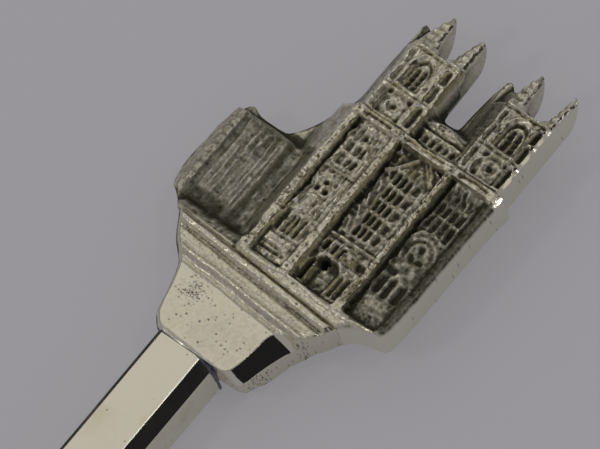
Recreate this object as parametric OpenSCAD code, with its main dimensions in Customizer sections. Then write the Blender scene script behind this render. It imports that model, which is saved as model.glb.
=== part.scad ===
// Souvenir spoon. A pressed bowl, a chamfered bar stem and a cast finial in the shape of a
// twin-towered church front are three pieces of silver, held by two soldered joints.
//
// Frame: +X runs from the bowl to the finial, +Z is up, and the origin is under the middle of
// the spoon on the plane it lies on. It rests on the bowl's underside and the finial's flat back.
// The finial is drawn standing up, x to its right, y up and z out of its face, with y = 0 on top
// of its plinth and z = 0 halfway through the stem, and is then laid into the spoon's frame.

/* [Spoon] */
// Overall length, bowl tip to pinnacle tips
spoon_l = 117; // [113:1:121]

/* [Bowl] */
// Length of the bowl at the rim
bowl_l = 38; // [36:0.5:40]
// Width of the bowl at the rim
bowl_w = 25; // [24:0.5:26]
// Depth of the bowl, rim to underside
bowl_d = 7.2; // [7:0.1:7.6]
// Thickness of the bowl's wall
bowl_t = 1; // [0.8:0.1:1.1]
// Share of the bowl's length between its tip and its widest point
bowl_belly = 0.46; // [0.44:0.01:0.5]

/* [Stem] */
// Width of the stem under the finial
stem_w = 3.34; // [3.1:0.02:3.5]
// Thickness of the stem under the finial
stem_t = 3.4; // [3.2:0.1:3.6]
// Size of the chamfers along the stem
stem_c = 0.64; // [0.5:0.02:0.8]
// Width of the stem at its narrowest, above the bowl
stem_neck_w = 2.6; // [2.4:0.1:2.8]
// Length of the tongue that is lapped under the bowl
tongue_l = 13; // [11:0.5:14]

/* [Joints] */
// Width of the square peg on the stem's end
peg_w = 2; // [1.8:0.1:2.2]
// Length of the peg
peg_l = 2.5; // [2:0.1:3]
// Thickness of the solder film
film = 0.06; // [0.05:0.01:0.1]
// Size of the bead of solder round each joint
bead = 0.16; // [0.1:0.02:0.2]

/* [Finial] */
// Width of the church front
front_w = 9.1; // [8.8:0.1:9.3]
// Height of the church front, plinth to string course
front_h = 9.4; // [9.2:0.1:9.6]
// How far the buttress faces stand out from the middle of the stem
front_z = 2.2; // [2:0.1:2.4]
// Height of the parapets of the two towers
tower_h = 13.6; // [13.4:0.1:13.8]
// Height of the pinnacle tips
finial_h = 15.6; // [15.4:0.1:15.8]
// Height of the flared neck below the plinth
neck_h = 5.3; // [5:0.1:5.6]
// Depth of the side bays
bay_d = 0.75; // [0.6:0.05:0.9]
// Depth of the middle bay
door_d = 1.25; // [1.1:0.05:1.4]

/* [Hidden] */
$fn = 96;
eps = 0.01;

// Where things are along the spoon
tip_x = -spoon_l / 2;
heel_x = tip_x + bowl_l;
belly_x = tip_x + bowl_l * bowl_belly;
plinth_x = spoon_l / 2 - finial_h;
shoulder_x = plinth_x - neck_h - film;
stem_z = stem_t / 2;

// The bowl is cut from a spindle: two arcs turned round an axis that lies above the rim
axis_h = (pow(bowl_w / 2, 2) - pow(bowl_d, 2)) / (2 * bowl_d);
axis_z = bowl_d + axis_h;
belly_r = bowl_d + axis_h;
heel_run = heel_x - belly_x;
tip_run = belly_x - tip_x;
heel_arc = (pow(heel_run, 2) + pow(bowl_d, 2)) / (2 * bowl_d);
tip_arc = (pow(tip_run, 2) + pow(bowl_d, 2)) / (2 * bowl_d);

// Height of the bowl's outer surface along its keel
function keel_z(x) =
    let (arc = x > belly_x ? heel_arc : tip_arc)
    axis_z - (belly_r - arc + sqrt(pow(arc, 2) - pow(x - belly_x, 2)));

// A smooth step from 0 to 1 as x goes from a to b
function step_up(a, b, x) =
    let (t = max(0, min(1, (x - a) / (b - a))))
    t * t * (3 - 2 * t);
function mix(a, b, t) = a + (b - a) * t;

// One ring of a bar that runs along y: left, right, back, front and chamfer
function ring(y, l, r, b, f, c) = [
    [l + c, y, b], [r - c, y, b], [r, y, b + c], [r, y, f - c],
    [r - c, y, f], [l + c, y, f], [l, y, f - c], [l, y, b + c]
];

// A closed bar through rings of eight points
module loft(rings) {
    n = 8;
    last = (len(rings) - 1) * n;
    polyhedron(
        points = [for (r = rings) for (p = r) p],
        faces = concat(
            [[for (j = [n - 1:-1:0]) j]],
            [[for (j = [0:n - 1]) last + j]],
            [for (i = [0:len(rings) - 2]) for (j = [0:n - 1])
                [i * n + j, i * n + (j + 1) % n, (i + 1) * n + j]],
            [for (i = [0:len(rings) - 2]) for (j = [0:n - 1])
                [i * n + (j + 1) % n, (i + 1) * n + (j + 1) % n, (i + 1) * n + j]]
        )
    );
}

// A block whose back and front faces, [left, bottom, right, top], differ, so that it has draft
module block(back, front, z0, z1) {
    polyhedron(
        points = [
            [back[0], back[1], z0], [back[2], back[1], z0],
            [back[2], back[3], z0], [back[0], back[3], z0],
            [front[0], front[1], z1], [front[2], front[1], z1],
            [front[2], front[3], z1], [front[0], front[3], z1]
        ],
        faces = [[0, 1, 2, 3], [4, 5, 1, 0], [7, 6, 5, 4], [5, 6, 2, 1], [6, 7, 3, 2], [7, 4, 0, 3]]
    );
}

// A plain box by its left, bottom, right, top, back and front
module slab(l, b, r, t, z0, z1) {
    translate([l, b, z0]) cube([r - l, t - b, z1 - z0]);
}

// ---- Bowl ----

// The spindle that the bowl's surfaces lie on, grown by a distance
module spindle(grow) {
    reach = 4 * bowl_l;
    translate([belly_x, 0, axis_z]) rotate([0, 90, 0]) rotate_extrude() union() {
        intersection() {
            translate([belly_r - heel_arc, 0]) circle(heel_arc + grow);
            square([reach, reach]);
        }
        intersection() {
            translate([belly_r - tip_arc, 0]) circle(tip_arc + grow);
            translate([0, -reach]) square([reach, reach + eps]);
        }
    }
}

// What is below the rim, over the whole bowl
module below_rim() {
    translate([tip_x - bowl_d, -bowl_w, -bowl_d]) cube([bowl_l + 2 * bowl_d, 2 * bowl_w, 2 * bowl_d]);
}

module bowl() {
    color([0.78, 0.75, 0.69]) difference() {
        intersection() {
            spindle(0);
            below_rim();
        }
        spindle(-bowl_t);
    }
}

// ---- Stem ----

// The stem lies flat under the finial, rises to the height of the rim, and goes on as a tongue
flat_l = 5;
rise_end = 4.5;
stem_flat_x = shoulder_x - flat_l;
stem_high_x = heel_x + rise_end;
tongue_root_x = heel_x - 1;
tongue_tip_x = heel_x - tongue_l;
heel_t = 2.6;
heel_c = 0.5;
tongue_w = 4;
tongue_tip_w = 0.7;
tongue_tip_t = 0.3;
tongue_tip_c = 0.12;
tongue_steps = 10;
heel_steps = 6;
stem_steps = 28;

function stem_top(x) = mix(stem_t, bowl_d, step_up(stem_flat_x, stem_high_x, x));
function stem_bottom(x) =
    x > heel_x
    ? mix(0, bowl_d - heel_t, step_up(stem_flat_x, stem_high_x, x))
    : keel_z(x) - mix(heel_t, tongue_tip_t, step_up(heel_x, tongue_tip_x, x));
function stem_half(x) =
    x > stem_high_x
    ? mix(stem_w, stem_neck_w, step_up(shoulder_x, stem_high_x, x)) / 2
    : x > heel_x
    ? mix(stem_neck_w, tongue_w, step_up(stem_high_x, tongue_root_x, x)) / 2
    : mix(tongue_w, tongue_tip_w, step_up(tongue_root_x, tongue_tip_x, x)) / 2;
function stem_chamfer(x) =
    x > heel_x
    ? mix(heel_c, stem_c, step_up(heel_x, stem_high_x, x))
    : mix(tongue_tip_c, heel_c, step_up(tongue_tip_x, heel_x, x));

// Where the bar's rings are
stem_xs = concat(
    [for (i = [0:tongue_steps - 1]) mix(tongue_tip_x, heel_x, i / tongue_steps)],
    [for (i = [0:heel_steps - 1]) mix(heel_x, stem_high_x, i / heel_steps)],
    [for (i = [0:stem_steps]) mix(stem_high_x, stem_flat_x, i / stem_steps)],
    [shoulder_x]
);

// The bar before its end is cut to the bowl, grown sideways by a distance
module stem_bar(grow) {
    rotate([0, 0, -90]) loft([for (x = stem_xs)
        ring(x, -stem_half(x) - grow, stem_half(x) + grow, stem_bottom(x) - grow, stem_top(x),
            stem_chamfer(x))]);
}

module peg(w, l) {
    translate([shoulder_x - eps, -w / 2, stem_z - w / 2]) cube([l + eps, w, w]);
}

module stem() {
    color([0.72, 0.70, 0.66]) difference() {
        union() {
            stem_bar(0);
            peg(peg_w, peg_l);
        }
        spindle(film);
    }
}

module bowl_solder() {
    color([0.55, 0.54, 0.55]) difference() {
        intersection() {
            stem_bar(bead);
            spindle(film);
            below_rim();
        }
        spindle(0);
    }
}

// ---- Finial ----

// Heights of the finial's surfaces over the middle of the stem
back_z = -stem_z;
core_z = 0.5;
bay_z = front_z - bay_d;
door_z = front_z - door_d;
porch_z = door_z + 0.35;
arcade_z = door_z + 0.5;
sill_z = door_z + 0.75;
string_z = front_z + 0.15;
band_z = front_z + 0.1;
gable_back_z = back_z + 0.2;
gable_wall_z = 1.55;
gable_z = 1.5;
wing_z = 0.85;
wing_strip_z = 1.05;
wing_stone_z = 1.25;
wing_top_z = 0.4;
neck_z = stem_z + 0.1;
neck_back_z = back_z + 0.1;
cut_z = front_z + 1;

// The front's left and right edges, its four buttresses and its levels
front_l = -1.05;
front_r = front_l + front_w;
butt_w = 0.45;
butt_ls = [front_l, 1.45, 4.8, front_r - butt_w];
bay_ls = [for (i = [0:2]) butt_ls[i] + butt_w];
bay_rs = [for (i = [1:3]) butt_ls[i]];
string_h = 0.42;
string_y = front_h - string_h;
sill_y = 3.5;
sill_h = 0.2;
arcade_y = 2.55;
base_y = 0.45;
door_w = 1.1;
niche_w = 0.32;
arch_y = 1.7;
bar_w = 0.13;
pane_d = 0.3;

// Both towers: left and right edges of the face, and how far the left flank flares to the back
tower_ls = [-0.8, 4.95];
tower_rs = [1.95, 7.65];
flare = 1.4;
oculus_y = 10.35;
belfry_y = 11.35;
belfry_arch_y = 12.7;

// Neck and plinth: height, left edge, right edge, back, face and chamfer of each station
neck_c = 0.75;
neck_rings = [
    ring(-neck_h, -stem_w / 2, stem_w / 2, back_z, stem_z, stem_c),
    ring(-5.05, -1.9, 3.1, neck_back_z, neck_z, neck_c),
    ring(-4, -2.65, 3.55, neck_back_z, neck_z, neck_c),
    ring(-2.3, -3.2, 4.05, neck_back_z, neck_z, neck_c),
    ring(-1.95, -3.4, 4.4, neck_back_z, neck_z + 0.12, neck_c),
    ring(-1.7, -3.6, 4.7, neck_back_z, neck_z, neck_c),
    ring(-1.45, -3.9, 4.95, neck_back_z, neck_z + 0.15, neck_c),
    ring(-0.85, -4.35, 5.4, neck_back_z, neck_z + 0.2, neck_c),
    ring(-0.7, -4.45, 5.55, neck_back_z, neck_z + 0.05, neck_c),
    ring(-0.45, -4.6, 5.9, neck_back_z, neck_z + 0.32, 0.5),
    ring(-0.15, -4.8, 6.6, neck_back_z, neck_z + 0.32, 0.4),
    ring(0, -4.9, 7.1, neck_back_z, neck_z, 0.3),
    ring(0.55, -5.6, 7.6, neck_back_z, 1, 0.3)
];

module neck() {
    loft(neck_rings);
}

// A tooth of the skyline, from its foot to its tip, with its face at z
module pinnacle(l, r, foot_y, tip_y, z, lean) {
    loft([
        ring(foot_y - 0.3, l - lean, r, -0.6, z, 0.12),
        ring(mix(foot_y, tip_y, 0.45), l + 0.1 - lean * 0.6, r, -0.5, z, 0.12),
        ring(tip_y - 0.25, mix(l, r, 0.45) - lean * 0.25, r - 0.05, -0.3, z - 0.1, 0.1),
        ring(tip_y, mix(l, r, 0.6), r - 0.1, 0.2, z - 0.35, 0.08)
    ]);
}

module tower(i) {
    l = tower_ls[i];
    r = tower_rs[i];
    block([l - flare, front_h - 1, r, tower_h - 0.2], [l, front_h - 1, r, tower_h - 0.1], 0, front_z);
    block([l - flare + 0.3, front_h - 1, r - 0.2, tower_h - 0.3], [l - flare, front_h - 1, r, tower_h - 0.2],
        back_z, 0);
    slab(l, belfry_y - 0.37, r, belfry_y - 0.23, core_z, band_z);
    slab(l, tower_h - 0.25, r, tower_h, core_z, band_z);
    pinnacle(l, l + 0.75, tower_h, finial_h - 0.1 * (1 - i), front_z, 0.6);
    pinnacle(r - 0.7, r, tower_h, finial_h, front_z, 0.3);
    pinnacle(l - flare, l - flare + 0.55, tower_h, finial_h - 0.55, 0.45, 0);
}

// The belfry opening and the round window below it
module tower_openings(i) {
    m = (tower_ls[i] + tower_rs[i]) / 2 - 0.1;
    for (x = [m - 0.25, m + 0.25]) slab(x - 0.17, belfry_y, x + 0.17, belfry_arch_y, bay_z, cut_z);
    translate([m, belfry_arch_y, bay_z]) cylinder(h = cut_z, r = 0.42);
    translate([m, oculus_y, bay_z + 0.2]) difference() {
        cylinder(h = cut_z, r = 0.5);
        cylinder(h = bay_d - 0.25, r = 0.32);
    }
    translate([m, oculus_y, bay_z]) cylinder(h = cut_z, r = 0.16);
}

// A grid of window lights, given by the middles of its columns and rows
module lights(xs, ys, w, h, z) {
    for (x = xs) for (y = ys) slab(x - w / 2, y - h / 2, x + w / 2, y + h / 2, z - pane_d, z + eps);
}

// A side bay's lights: a window of six panes and a rose, a trefoil, and three tall lancets
module side_bay(l, r) {
    m = (l + r) / 2;
    columns = [m - 0.48, m, m + 0.48];
    lights(columns, [6.6, 7.3], 0.3, 0.5, bay_z);
    translate([m, 8.05, bay_z - pane_d]) cylinder(h = pane_d + eps, r = 0.34);
    for (hole = [[-0.26, 4.8], [0.26, 4.8], [0, 5.25]])
        translate([m + hole[0], hole[1], bay_z - pane_d]) cylinder(h = pane_d + eps, r = 0.15);
    lights(columns, [2.6], 0.28, 1.1, bay_z);
}

// The gable, ledge and plinth blocks that stand out of a side bay's wall
module side_bay_trim(l, r) {
    m = (l + r) / 2;
    for (side = [-1, 1]) translate([m, 5.95, bay_z - eps]) rotate([0, 0, side > 0 ? -52 : 232])
        cube([1.05, bar_w, 0.25]);
    slab(l - eps, 1.75, r + eps, 1.9, bay_z - eps, bay_z + 0.3);
    slab(l + 0.15, 0.95, r - 0.15, 1.6, bay_z - eps, bay_z + 0.3);
}

// The great window of the middle bay
module great_window(l, r) {
    m = (l + r) / 2;
    lights([m - 0.85, m - 0.28, m + 0.28, m + 0.85], [4.2, 5, 5.8, 6.6, 7.4], 0.38, 0.55, door_z);
}

// A round-headed opening through the porch, by its middle, width, foot and back
module arched(m, w, y, z) {
    slab(m - w / 2, y, m + w / 2, arch_y, z, cut_z);
    translate([m, arch_y, z]) cylinder(h = cut_z, r = w / 2);
}

// The openings cut into the middle bay's trim: an arcade, a niche at each side and the door
module middle_bay(l, r) {
    m = (l + r) / 2;
    lights([for (i = [-2.5:2.5]) m + i * 0.38], [3], 0.22, 0.5, arcade_z);
    for (x = [m - 1.05, m + 1.05]) arched(x, niche_w, 2 * base_y, porch_z);
    arched(m, door_w, base_y, door_z - 0.2);
}

// The sill, the arcade under it, the porch and the gable over the great window
module middle_bay_trim(l, r) {
    m = (l + r) / 2;
    slab(l - eps, sill_y - sill_h / 2, r + eps, sill_y + sill_h / 2, door_z - eps, sill_z);
    slab(l - eps, arcade_y, r + eps, sill_y - sill_h / 2 + eps, door_z - eps, arcade_z);
    slab(l - eps, base_y, r + eps, arcade_y + eps, door_z - eps, sill_z);
    for (side = [-1, 1]) translate([m, 8.95, door_z - eps]) rotate([0, 0, side > 0 ? -48 : 228])
        translate([0, side > 0 ? -bar_w : 0, 0]) cube([1.7, bar_w, 0.45]);
}

// The front between the plinth and the string course
module front() {
    difference() {
        union() {
            block([front_l - 1.5, 0.2, front_r, front_h], [front_l, 0.2, front_r, front_h], 0, front_z);
            block([front_l - 1.2, 0.4, front_r - 0.3, front_h], [front_l - 1.5, 0.2, front_r, front_h],
                back_z, 0);
        }
        for (i = [0:2]) slab(bay_ls[i], base_y, bay_rs[i], string_y, i == 1 ? door_z : bay_z, cut_z);
        for (i = [0, 2]) side_bay(bay_ls[i], bay_rs[i]);
        great_window(bay_ls[1], bay_rs[1]);
    }
    difference() {
        middle_bay_trim(bay_ls[1], bay_rs[1]);
        middle_bay(bay_ls[1], bay_rs[1]);
    }
    for (i = [0, 2]) side_bay_trim(bay_ls[i], bay_rs[i]);
    slab(front_l, string_y, front_r, front_h, core_z, string_z);
}

// The gable and its arcade between the towers
module gable() {
    l = tower_rs[0];
    r = tower_ls[1];
    difference() {
        union() {
            slab(l - eps, front_h - 0.5, r + eps, 10.3, gable_back_z, gable_wall_z);
            translate([0, 0, gable_back_z]) linear_extrude(gable_z - gable_back_z) polygon(
                [[l - eps, 10.2], [r + eps, 10.2], [r + eps, 10.5], [(l + r) / 2, 11.4], [l - eps, 10.6]]);
        }
        for (i = [0:5]) slab(l + 0.2 + i * 0.46, 9.6, l + 0.45 + i * 0.46, 10.05, gable_wall_z - 0.35, cut_z);
        translate([(l + r) / 2, 10.75, gable_z - 0.4]) cylinder(h = cut_z, r = 0.25);
    }
}

// The nave wall at the left, with its upright strips and its corner of dressed stones
wing_l = -6;
wing_b = 0.9;
wing_top = 6.5;
stone_step = 0.6;
strip_step = 0.5;

module wing() {
    block([wing_l - 0.9, wing_b, front_l, wing_top], [wing_l, wing_b, front_l, wing_top - 0.1], 0, wing_z);
    block([wing_l - 0.5, wing_b + 0.3, front_l, wing_top - 0.2], [wing_l - 0.9, wing_b, front_l, wing_top],
        back_z, 0);
    for (i = [0:8]) translate([wing_l, 1.3 + i * stone_step, 0]) cube([0.5, 0.5, wing_stone_z]);
    for (i = [0:3]) translate([wing_l + 0.85 + i * strip_step, 1.2, 0]) cube([0.3, 5, wing_strip_z]);
    translate([0, 0, back_z]) linear_extrude(wing_top_z - back_z) polygon(
        [[-3.6, 6], [front_l, 6], [front_l, front_h], [-2.2, front_h], [-2.5, 8], [-3, 7.1]]);
}

module finial_socket() {
    w = peg_w + 2 * film;
    translate([-w / 2, -neck_h - 1, -w / 2]) cube([w, peg_l + 1, w]);
}

module finial_upright() {
    difference() {
        union() {
            neck();
            difference() {
                union() {
                    front();
                    gable();
                    for (i = [0, 1]) tower(i);
                }
                for (i = [0, 1]) tower_openings(i);
            }
            wing();
        }
        finial_socket();
    }
}

// Lays an upright shape into the spoon's frame
module laid() {
    translate([plinth_x, 0, stem_z]) rotate([0, 0, -90]) children();
}

module finial() {
    color([0.66, 0.63, 0.56]) laid() finial_upright();
}

module finial_solder() {
    color([0.45, 0.45, 0.52]) laid() difference() {
        union() {
            loft([for (end = [[film + bead, film], [0, bead]])
                ring(-neck_h - end[0], -stem_w / 2 - end[1], stem_w / 2 + end[1], back_z, stem_z + end[1],
                    stem_c)]);
            intersection() {
                finial_socket();
                slab(-stem_w, -neck_h - eps, stem_w, 0, back_z, stem_z);
            }
        }
        slab(-peg_w / 2, -neck_h - 1, peg_w / 2, -neck_h - film + peg_l, -peg_w / 2, peg_w / 2);
        loft([for (y = [-neck_h - 1, -neck_h - film])
            ring(y, -stem_w / 2, stem_w / 2, back_z - eps, stem_z, stem_c)]);
    }
}

bowl();
stem();
finial();
finial_solder();
bowl_solder();
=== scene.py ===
# %% [markdown]
# # A souvenir spoon
# The real spoon is three pieces of silver: a pressed bowl, a chamfered bar for a stem, and a
# cast finial in the shape of a twin-towered church front. Soft solder joins them.
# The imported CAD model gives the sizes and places. This lesson builds the finer surfaces over
# it: a cast relief carved in numpy, a smooth bar, a spun bowl, and worn, tarnished finishes.

import math

import bpy
import numpy as np
from mathutils import Matrix, Vector
from mathutils.geometry import tessellate_polygon


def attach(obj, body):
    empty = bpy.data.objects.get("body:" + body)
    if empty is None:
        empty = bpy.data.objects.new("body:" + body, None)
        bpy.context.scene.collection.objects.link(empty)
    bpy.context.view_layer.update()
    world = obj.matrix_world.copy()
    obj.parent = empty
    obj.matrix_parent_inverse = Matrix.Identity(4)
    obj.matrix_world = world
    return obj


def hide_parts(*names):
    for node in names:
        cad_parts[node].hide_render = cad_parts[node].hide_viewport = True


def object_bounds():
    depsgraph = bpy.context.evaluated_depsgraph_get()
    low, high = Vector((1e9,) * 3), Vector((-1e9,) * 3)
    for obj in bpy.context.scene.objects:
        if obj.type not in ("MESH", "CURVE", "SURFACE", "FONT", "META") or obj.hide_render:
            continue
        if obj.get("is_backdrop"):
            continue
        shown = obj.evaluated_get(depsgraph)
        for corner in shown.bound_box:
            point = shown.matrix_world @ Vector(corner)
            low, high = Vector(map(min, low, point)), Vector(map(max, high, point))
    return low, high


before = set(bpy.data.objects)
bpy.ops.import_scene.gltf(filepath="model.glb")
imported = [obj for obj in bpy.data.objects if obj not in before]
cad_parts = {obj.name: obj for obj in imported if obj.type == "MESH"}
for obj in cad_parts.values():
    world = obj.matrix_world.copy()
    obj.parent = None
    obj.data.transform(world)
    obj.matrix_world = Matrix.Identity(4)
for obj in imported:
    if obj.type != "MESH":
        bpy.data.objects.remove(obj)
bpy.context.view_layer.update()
MM = 0.001
scene = bpy.context.scene

# %% [markdown]
# ## The camera
# The finial is seen closely from its right and from below, through a long lens, so that
# parallel edges stay nearly parallel. A camera is placed by three directions: its right, its
# up, and the way back towards it. Those three are the columns of its matrix.

# %% Place the camera
LOOK_AT = Vector((45.96, -0.245, 2.7)) * MM
CAMERA_FAR = 480 * MM
CAMERA_RIGHT = Vector((0.625, -0.761, -0.173)).normalized()
CAMERA_BACK = Vector((-0.236, -0.396, 0.888)).normalized()
CAMERA_UP = CAMERA_BACK.cross(CAMERA_RIGHT).normalized()


def facing(place, back, up):
    """A matrix whose z axis points along back, with its y axis as near to up as it can be."""
    z = Vector(back).normalized()
    x = Vector(up).cross(z).normalized()
    y = z.cross(x)
    turn = Matrix((x, y, z)).transposed().to_4x4()
    return Matrix.Translation(place) @ turn


lens = bpy.data.cameras.new("finial_camera")
lens.lens = 600
lens.sensor_width = 36
lens.clip_start = 0.01
lens.clip_end = 40
camera = bpy.data.objects.new("finial_camera", lens)
camera.matrix_world = facing(LOOK_AT + CAMERA_BACK * CAMERA_FAR, CAMERA_BACK, CAMERA_UP)
scene.collection.objects.link(camera)
scene.camera = camera
scene.view_settings.view_transform = "Standard"

# %% [markdown]
# ## The studio
# Polished silver has almost no colour of its own: it shows what is around it. So the studio is
# laid out by reflection. Faces that look straight up mirror a large, warm soft box behind the
# spoon. The chamfers on the right mirror a dark card that stands low at that side. A small lamp
# adds the sparkle on worn edges, a second one lights the bevel down the right edge, and the
# pale floor and sky fill in the rest.

# %% Lights and sky
def soft_box(name, towards, far, width, height, radiance, colour):
    """An area lamp that shines on the finial, as bright as its radiance from any distance."""
    lamp = bpy.data.lights.new(name, "AREA")
    lamp.shape = "RECTANGLE"
    lamp.size, lamp.size_y = width, height
    lamp.energy = radiance * math.pi * width * height
    lamp.color = colour
    holder = bpy.data.objects.new(name, lamp)
    back = Vector(towards).normalized()
    holder.matrix_world = facing(LOOK_AT + back * far, back, (0, 0, 1))
    scene.collection.objects.link(holder)
    return holder


soft_box("warm_soft_box", (0.30, 0.48, 0.83), 0.9, 0.75, 0.75, 0.305, (1.0, 0.95, 0.80))
soft_box("small_lamp", (-0.55, 0.30, 0.78), 0.8, 0.08, 0.08, 15.0, (1.0, 0.97, 0.88))
soft_box("edge_lamp", (0.25, -0.42, 0.87), 0.8, 0.05, 0.05, 26.0, (0.97, 0.98, 1.0))

sky = bpy.data.worlds.new("pale_sky")
sky.use_nodes = True
sky.node_tree.nodes["Background"].inputs["Color"].default_value = (0.305, 0.298, 0.320, 1)
sky.node_tree.nodes["Background"].inputs["Strength"].default_value = 1.0
scene.world = sky

# %% [markdown]
# ## Shader sums
# A finish is a small network of nodes. Writing it as sums keeps it readable, so a Strand wraps
# one socket and turns +, - and * into Math nodes. Reflected operators let a plain number stand
# on the left of a sum.

# %% A socket that can be added and multiplied
class Strand:
    def __init__(self, finish, socket):
        self.finish, self.socket = finish, socket

    def sum(self, operation, first, second):
        return self.finish.node("ShaderNodeMath", {"operation": operation}, {0: first, 1: second})

    def __add__(self, other):
        return self.sum("ADD", self, other)

    def __radd__(self, other):
        return self.sum("ADD", other, self)

    def __sub__(self, other):
        return self.sum("SUBTRACT", self, other)

    def __rsub__(self, other):
        return self.sum("SUBTRACT", other, self)

    def __mul__(self, other):
        return self.sum("MULTIPLY", self, other)

    def __rmul__(self, other):
        return self.sum("MULTIPLY", other, self)

    def between(self, low, high):
        """0 where this is at low, 1 where it is at high, and no further."""
        return self.finish.node(
            "ShaderNodeMapRange", {"interpolation_type": "SMOOTHSTEP"}, {0: self, 1: low, 2: high}
        )


# %% [markdown]
# ## A finish
# A Finish holds one material round a metal shader. Any node comes from Finish.node, which takes
# its type, its settings and what its sockets get. Noise is measured in features to a
# millimetre, so grain and scratches keep their true size on every piece.

# %% A material written in short sentences
class Finish:
    def __init__(self, name):
        self.material = bpy.data.materials.new(name)
        self.material.use_nodes = True
        self.tree = self.material.node_tree
        self.tree.nodes.clear()
        self.shader = self.tree.nodes.new("ShaderNodeBsdfPrincipled")
        output = self.tree.nodes.new("ShaderNodeOutputMaterial")
        self.tree.links.new(self.shader.outputs[0], output.inputs["Surface"])
        places = self.node("ShaderNodeTexCoord", out="Object")
        self.mm = self.node(
            "ShaderNodeVectorMath", {"operation": "SCALE"}, {0: places, "Scale": 1 / MM}
        )

    def feed(self, socket, value):
        if isinstance(value, Strand):
            self.tree.links.new(value.socket, socket)
        elif isinstance(value, tuple) and len(value) == 3 and socket.type == "RGBA":
            socket.default_value = (*value, 1)
        else:
            socket.default_value = value

    def node(self, kind, settings=None, gets=None, out=0):
        made = self.tree.nodes.new(kind)
        for key, value in (settings or {}).items():
            setattr(made, key, value)
        for key, value in (gets or {}).items():
            self.feed(made.inputs[key], value)
        return Strand(self, made.outputs[out])

    def blend(self, share, first, second):
        """A colour that goes from first to second as share goes from 0 to 1."""
        gets = {0: share, 6: first, 7: second}
        return self.node("ShaderNodeMix", {"data_type": "RGBA"}, gets, out=2)

    def clouds(self, per_mm, detail=2.0, stretch=None):
        """A smooth random field, with that many features to a millimetre."""
        where = self.mm
        if stretch:
            product = {"operation": "MULTIPLY"}
            where = self.node("ShaderNodeVectorMath", product, {0: where, 1: stretch})
        gets = {"Vector": where, "Scale": per_mm, "Detail": detail, "Roughness": 0.5}
        return self.node("ShaderNodeTexNoise", None, gets)

    def specks(self, per_mm, size):
        """1 in small round pits, 0 between them."""
        gets = {"Vector": self.mm, "Scale": per_mm, "Randomness": 1.0}
        near = self.node("ShaderNodeTexVoronoi", {"feature": "F1"}, gets)
        return 1 - near.between(size * 0.4, size)

    def painted(self, name):
        """A number that the mesh carries at each of its points."""
        return self.node("ShaderNodeAttribute", {"attribute_name": name}, out="Fac")

    def bumps(self, height, depth_mm):
        gets = {"Height": height, "Distance": depth_mm * MM, "Strength": 1.0}
        return self.node("ShaderNodeBump", None, gets, out="Normal")

    def set(self, **values):
        for key, value in values.items():
            self.feed(self.shader.inputs[key.replace("_", " ")], value)
        return self


# %% [markdown]
# ## The finishes
# The cast finial is bright where fingers and cloths rub it and dark olive where they can't
# reach. The mesh carries that, together with painted shade in some slots and on some flanks, as
# a number, "tarnish", and clouds of noise break its edge. The polished pieces differ
# only in small things: fine scratches that run along the bar, swirls in the bowl, a few pits,
# and faint yellow stains where the silver has started to tarnish.

# %% Polished silver, cast silver, solder and paper
SILVER = (0.80, 0.765, 0.64)
STAINED = (0.64, 0.59, 0.385)
OLIVE = (0.056, 0.053, 0.028)


def polished(name, along, roughness):
    """Polished silver with hairline scratches along one direction."""
    skin = Finish(name)
    stain = skin.clouds(0.35, 4.0).between(0.52, 0.75)
    hairs = skin.clouds(9.0, 2.0, along)
    pits = skin.specks(1.6, 0.085)
    colour = skin.blend(stain * 0.5, SILVER, STAINED)
    colour = skin.blend(pits * 0.7, colour, OLIVE)
    skin.set(Base_Color=colour, Metallic=1.0, Roughness=roughness + hairs * 0.10 + stain * 0.06)
    return skin.set(Normal=skin.bumps(hairs * 0.25 - pits, 0.008))


def cast_finish(name, grain, pitting):
    """Cast silver, worn bright on top, with tarnish and painted shade in its hollows."""
    skin = Finish(name)
    patches = skin.clouds(1.1, 3.0)
    fine = skin.clouds(7.0, 3.0)
    rough = 1 - skin.painted("polish")
    pits = skin.specks(3.2, 0.16) * rough
    mottle = (patches - 0.5) * 0.35 + (fine - 0.5) * 0.30
    dark = (skin.painted("tarnish") + mottle * rough).between(0.0, 1.0)
    colour = skin.blend(fine.between(0.3, 0.8) * rough, SILVER, STAINED)
    colour = skin.blend(dark, colour, OLIVE)
    colour = skin.blend(pits * pitting, colour, OLIVE)
    skin.set(Base_Color=colour, Metallic=1 - dark * 0.35)
    skin.set(Roughness=0.11 + rough * 0.13 + dark * 0.34 + fine * 0.10 * rough)
    relief = (fine * grain + patches * 0.5 - pits * 0.8) * (rough * 0.95 + 0.05)
    return skin.set(Normal=skin.bumps(relief, 0.022))


def solder_finish():
    """Dull blue-grey solder, heat-stained and a little rough."""
    skin = Finish("solder")
    heat = skin.clouds(1.4, 3.0)
    colour = skin.blend(heat.between(0.4, 0.7), (0.20, 0.19, 0.23), (0.08, 0.07, 0.13))
    skin.set(Base_Color=colour, Metallic=1.0, Roughness=0.30 + heat * 0.2)
    return skin.set(Normal=skin.bumps(heat, 0.03))


def paper_finish(name, colour, glow):
    """Plain paper under a light table's glow, so that shadows on it stay soft."""
    skin = Finish(name)
    fibre = skin.clouds(0.05, 2.0)
    shade = skin.blend(fibre, colour, tuple(c * 0.97 for c in colour))
    skin.set(Base_Color=shade, Roughness=0.9, Specular_IOR_Level=0.1)
    skin.set(Emission_Color=colour, Emission_Strength=glow)
    return skin


BOWL_SILVER = polished("bowl_silver", (0.25, 1.0, 1.0), 0.10)
STEM_SILVER = polished("stem_silver", (0.06, 1.0, 1.0), 0.11)
CAST_SILVER = cast_finish("cast_silver", 1.0, 0.5)
NECK_SILVER = cast_finish("neck_silver", 0.25, 0.12)
SOLDER = solder_finish()
print("finishes:", [material.name for material in bpy.data.materials])

# %% [markdown]
# ## The floor and the dark cards
# A sheet of pale paper lies under the spoon and lets soft shadows fall. Two dark cards stand
# half a metre off, one on each side of the finial. Only reflections see them, so they darken
# the chamfers without shading anything.

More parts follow.
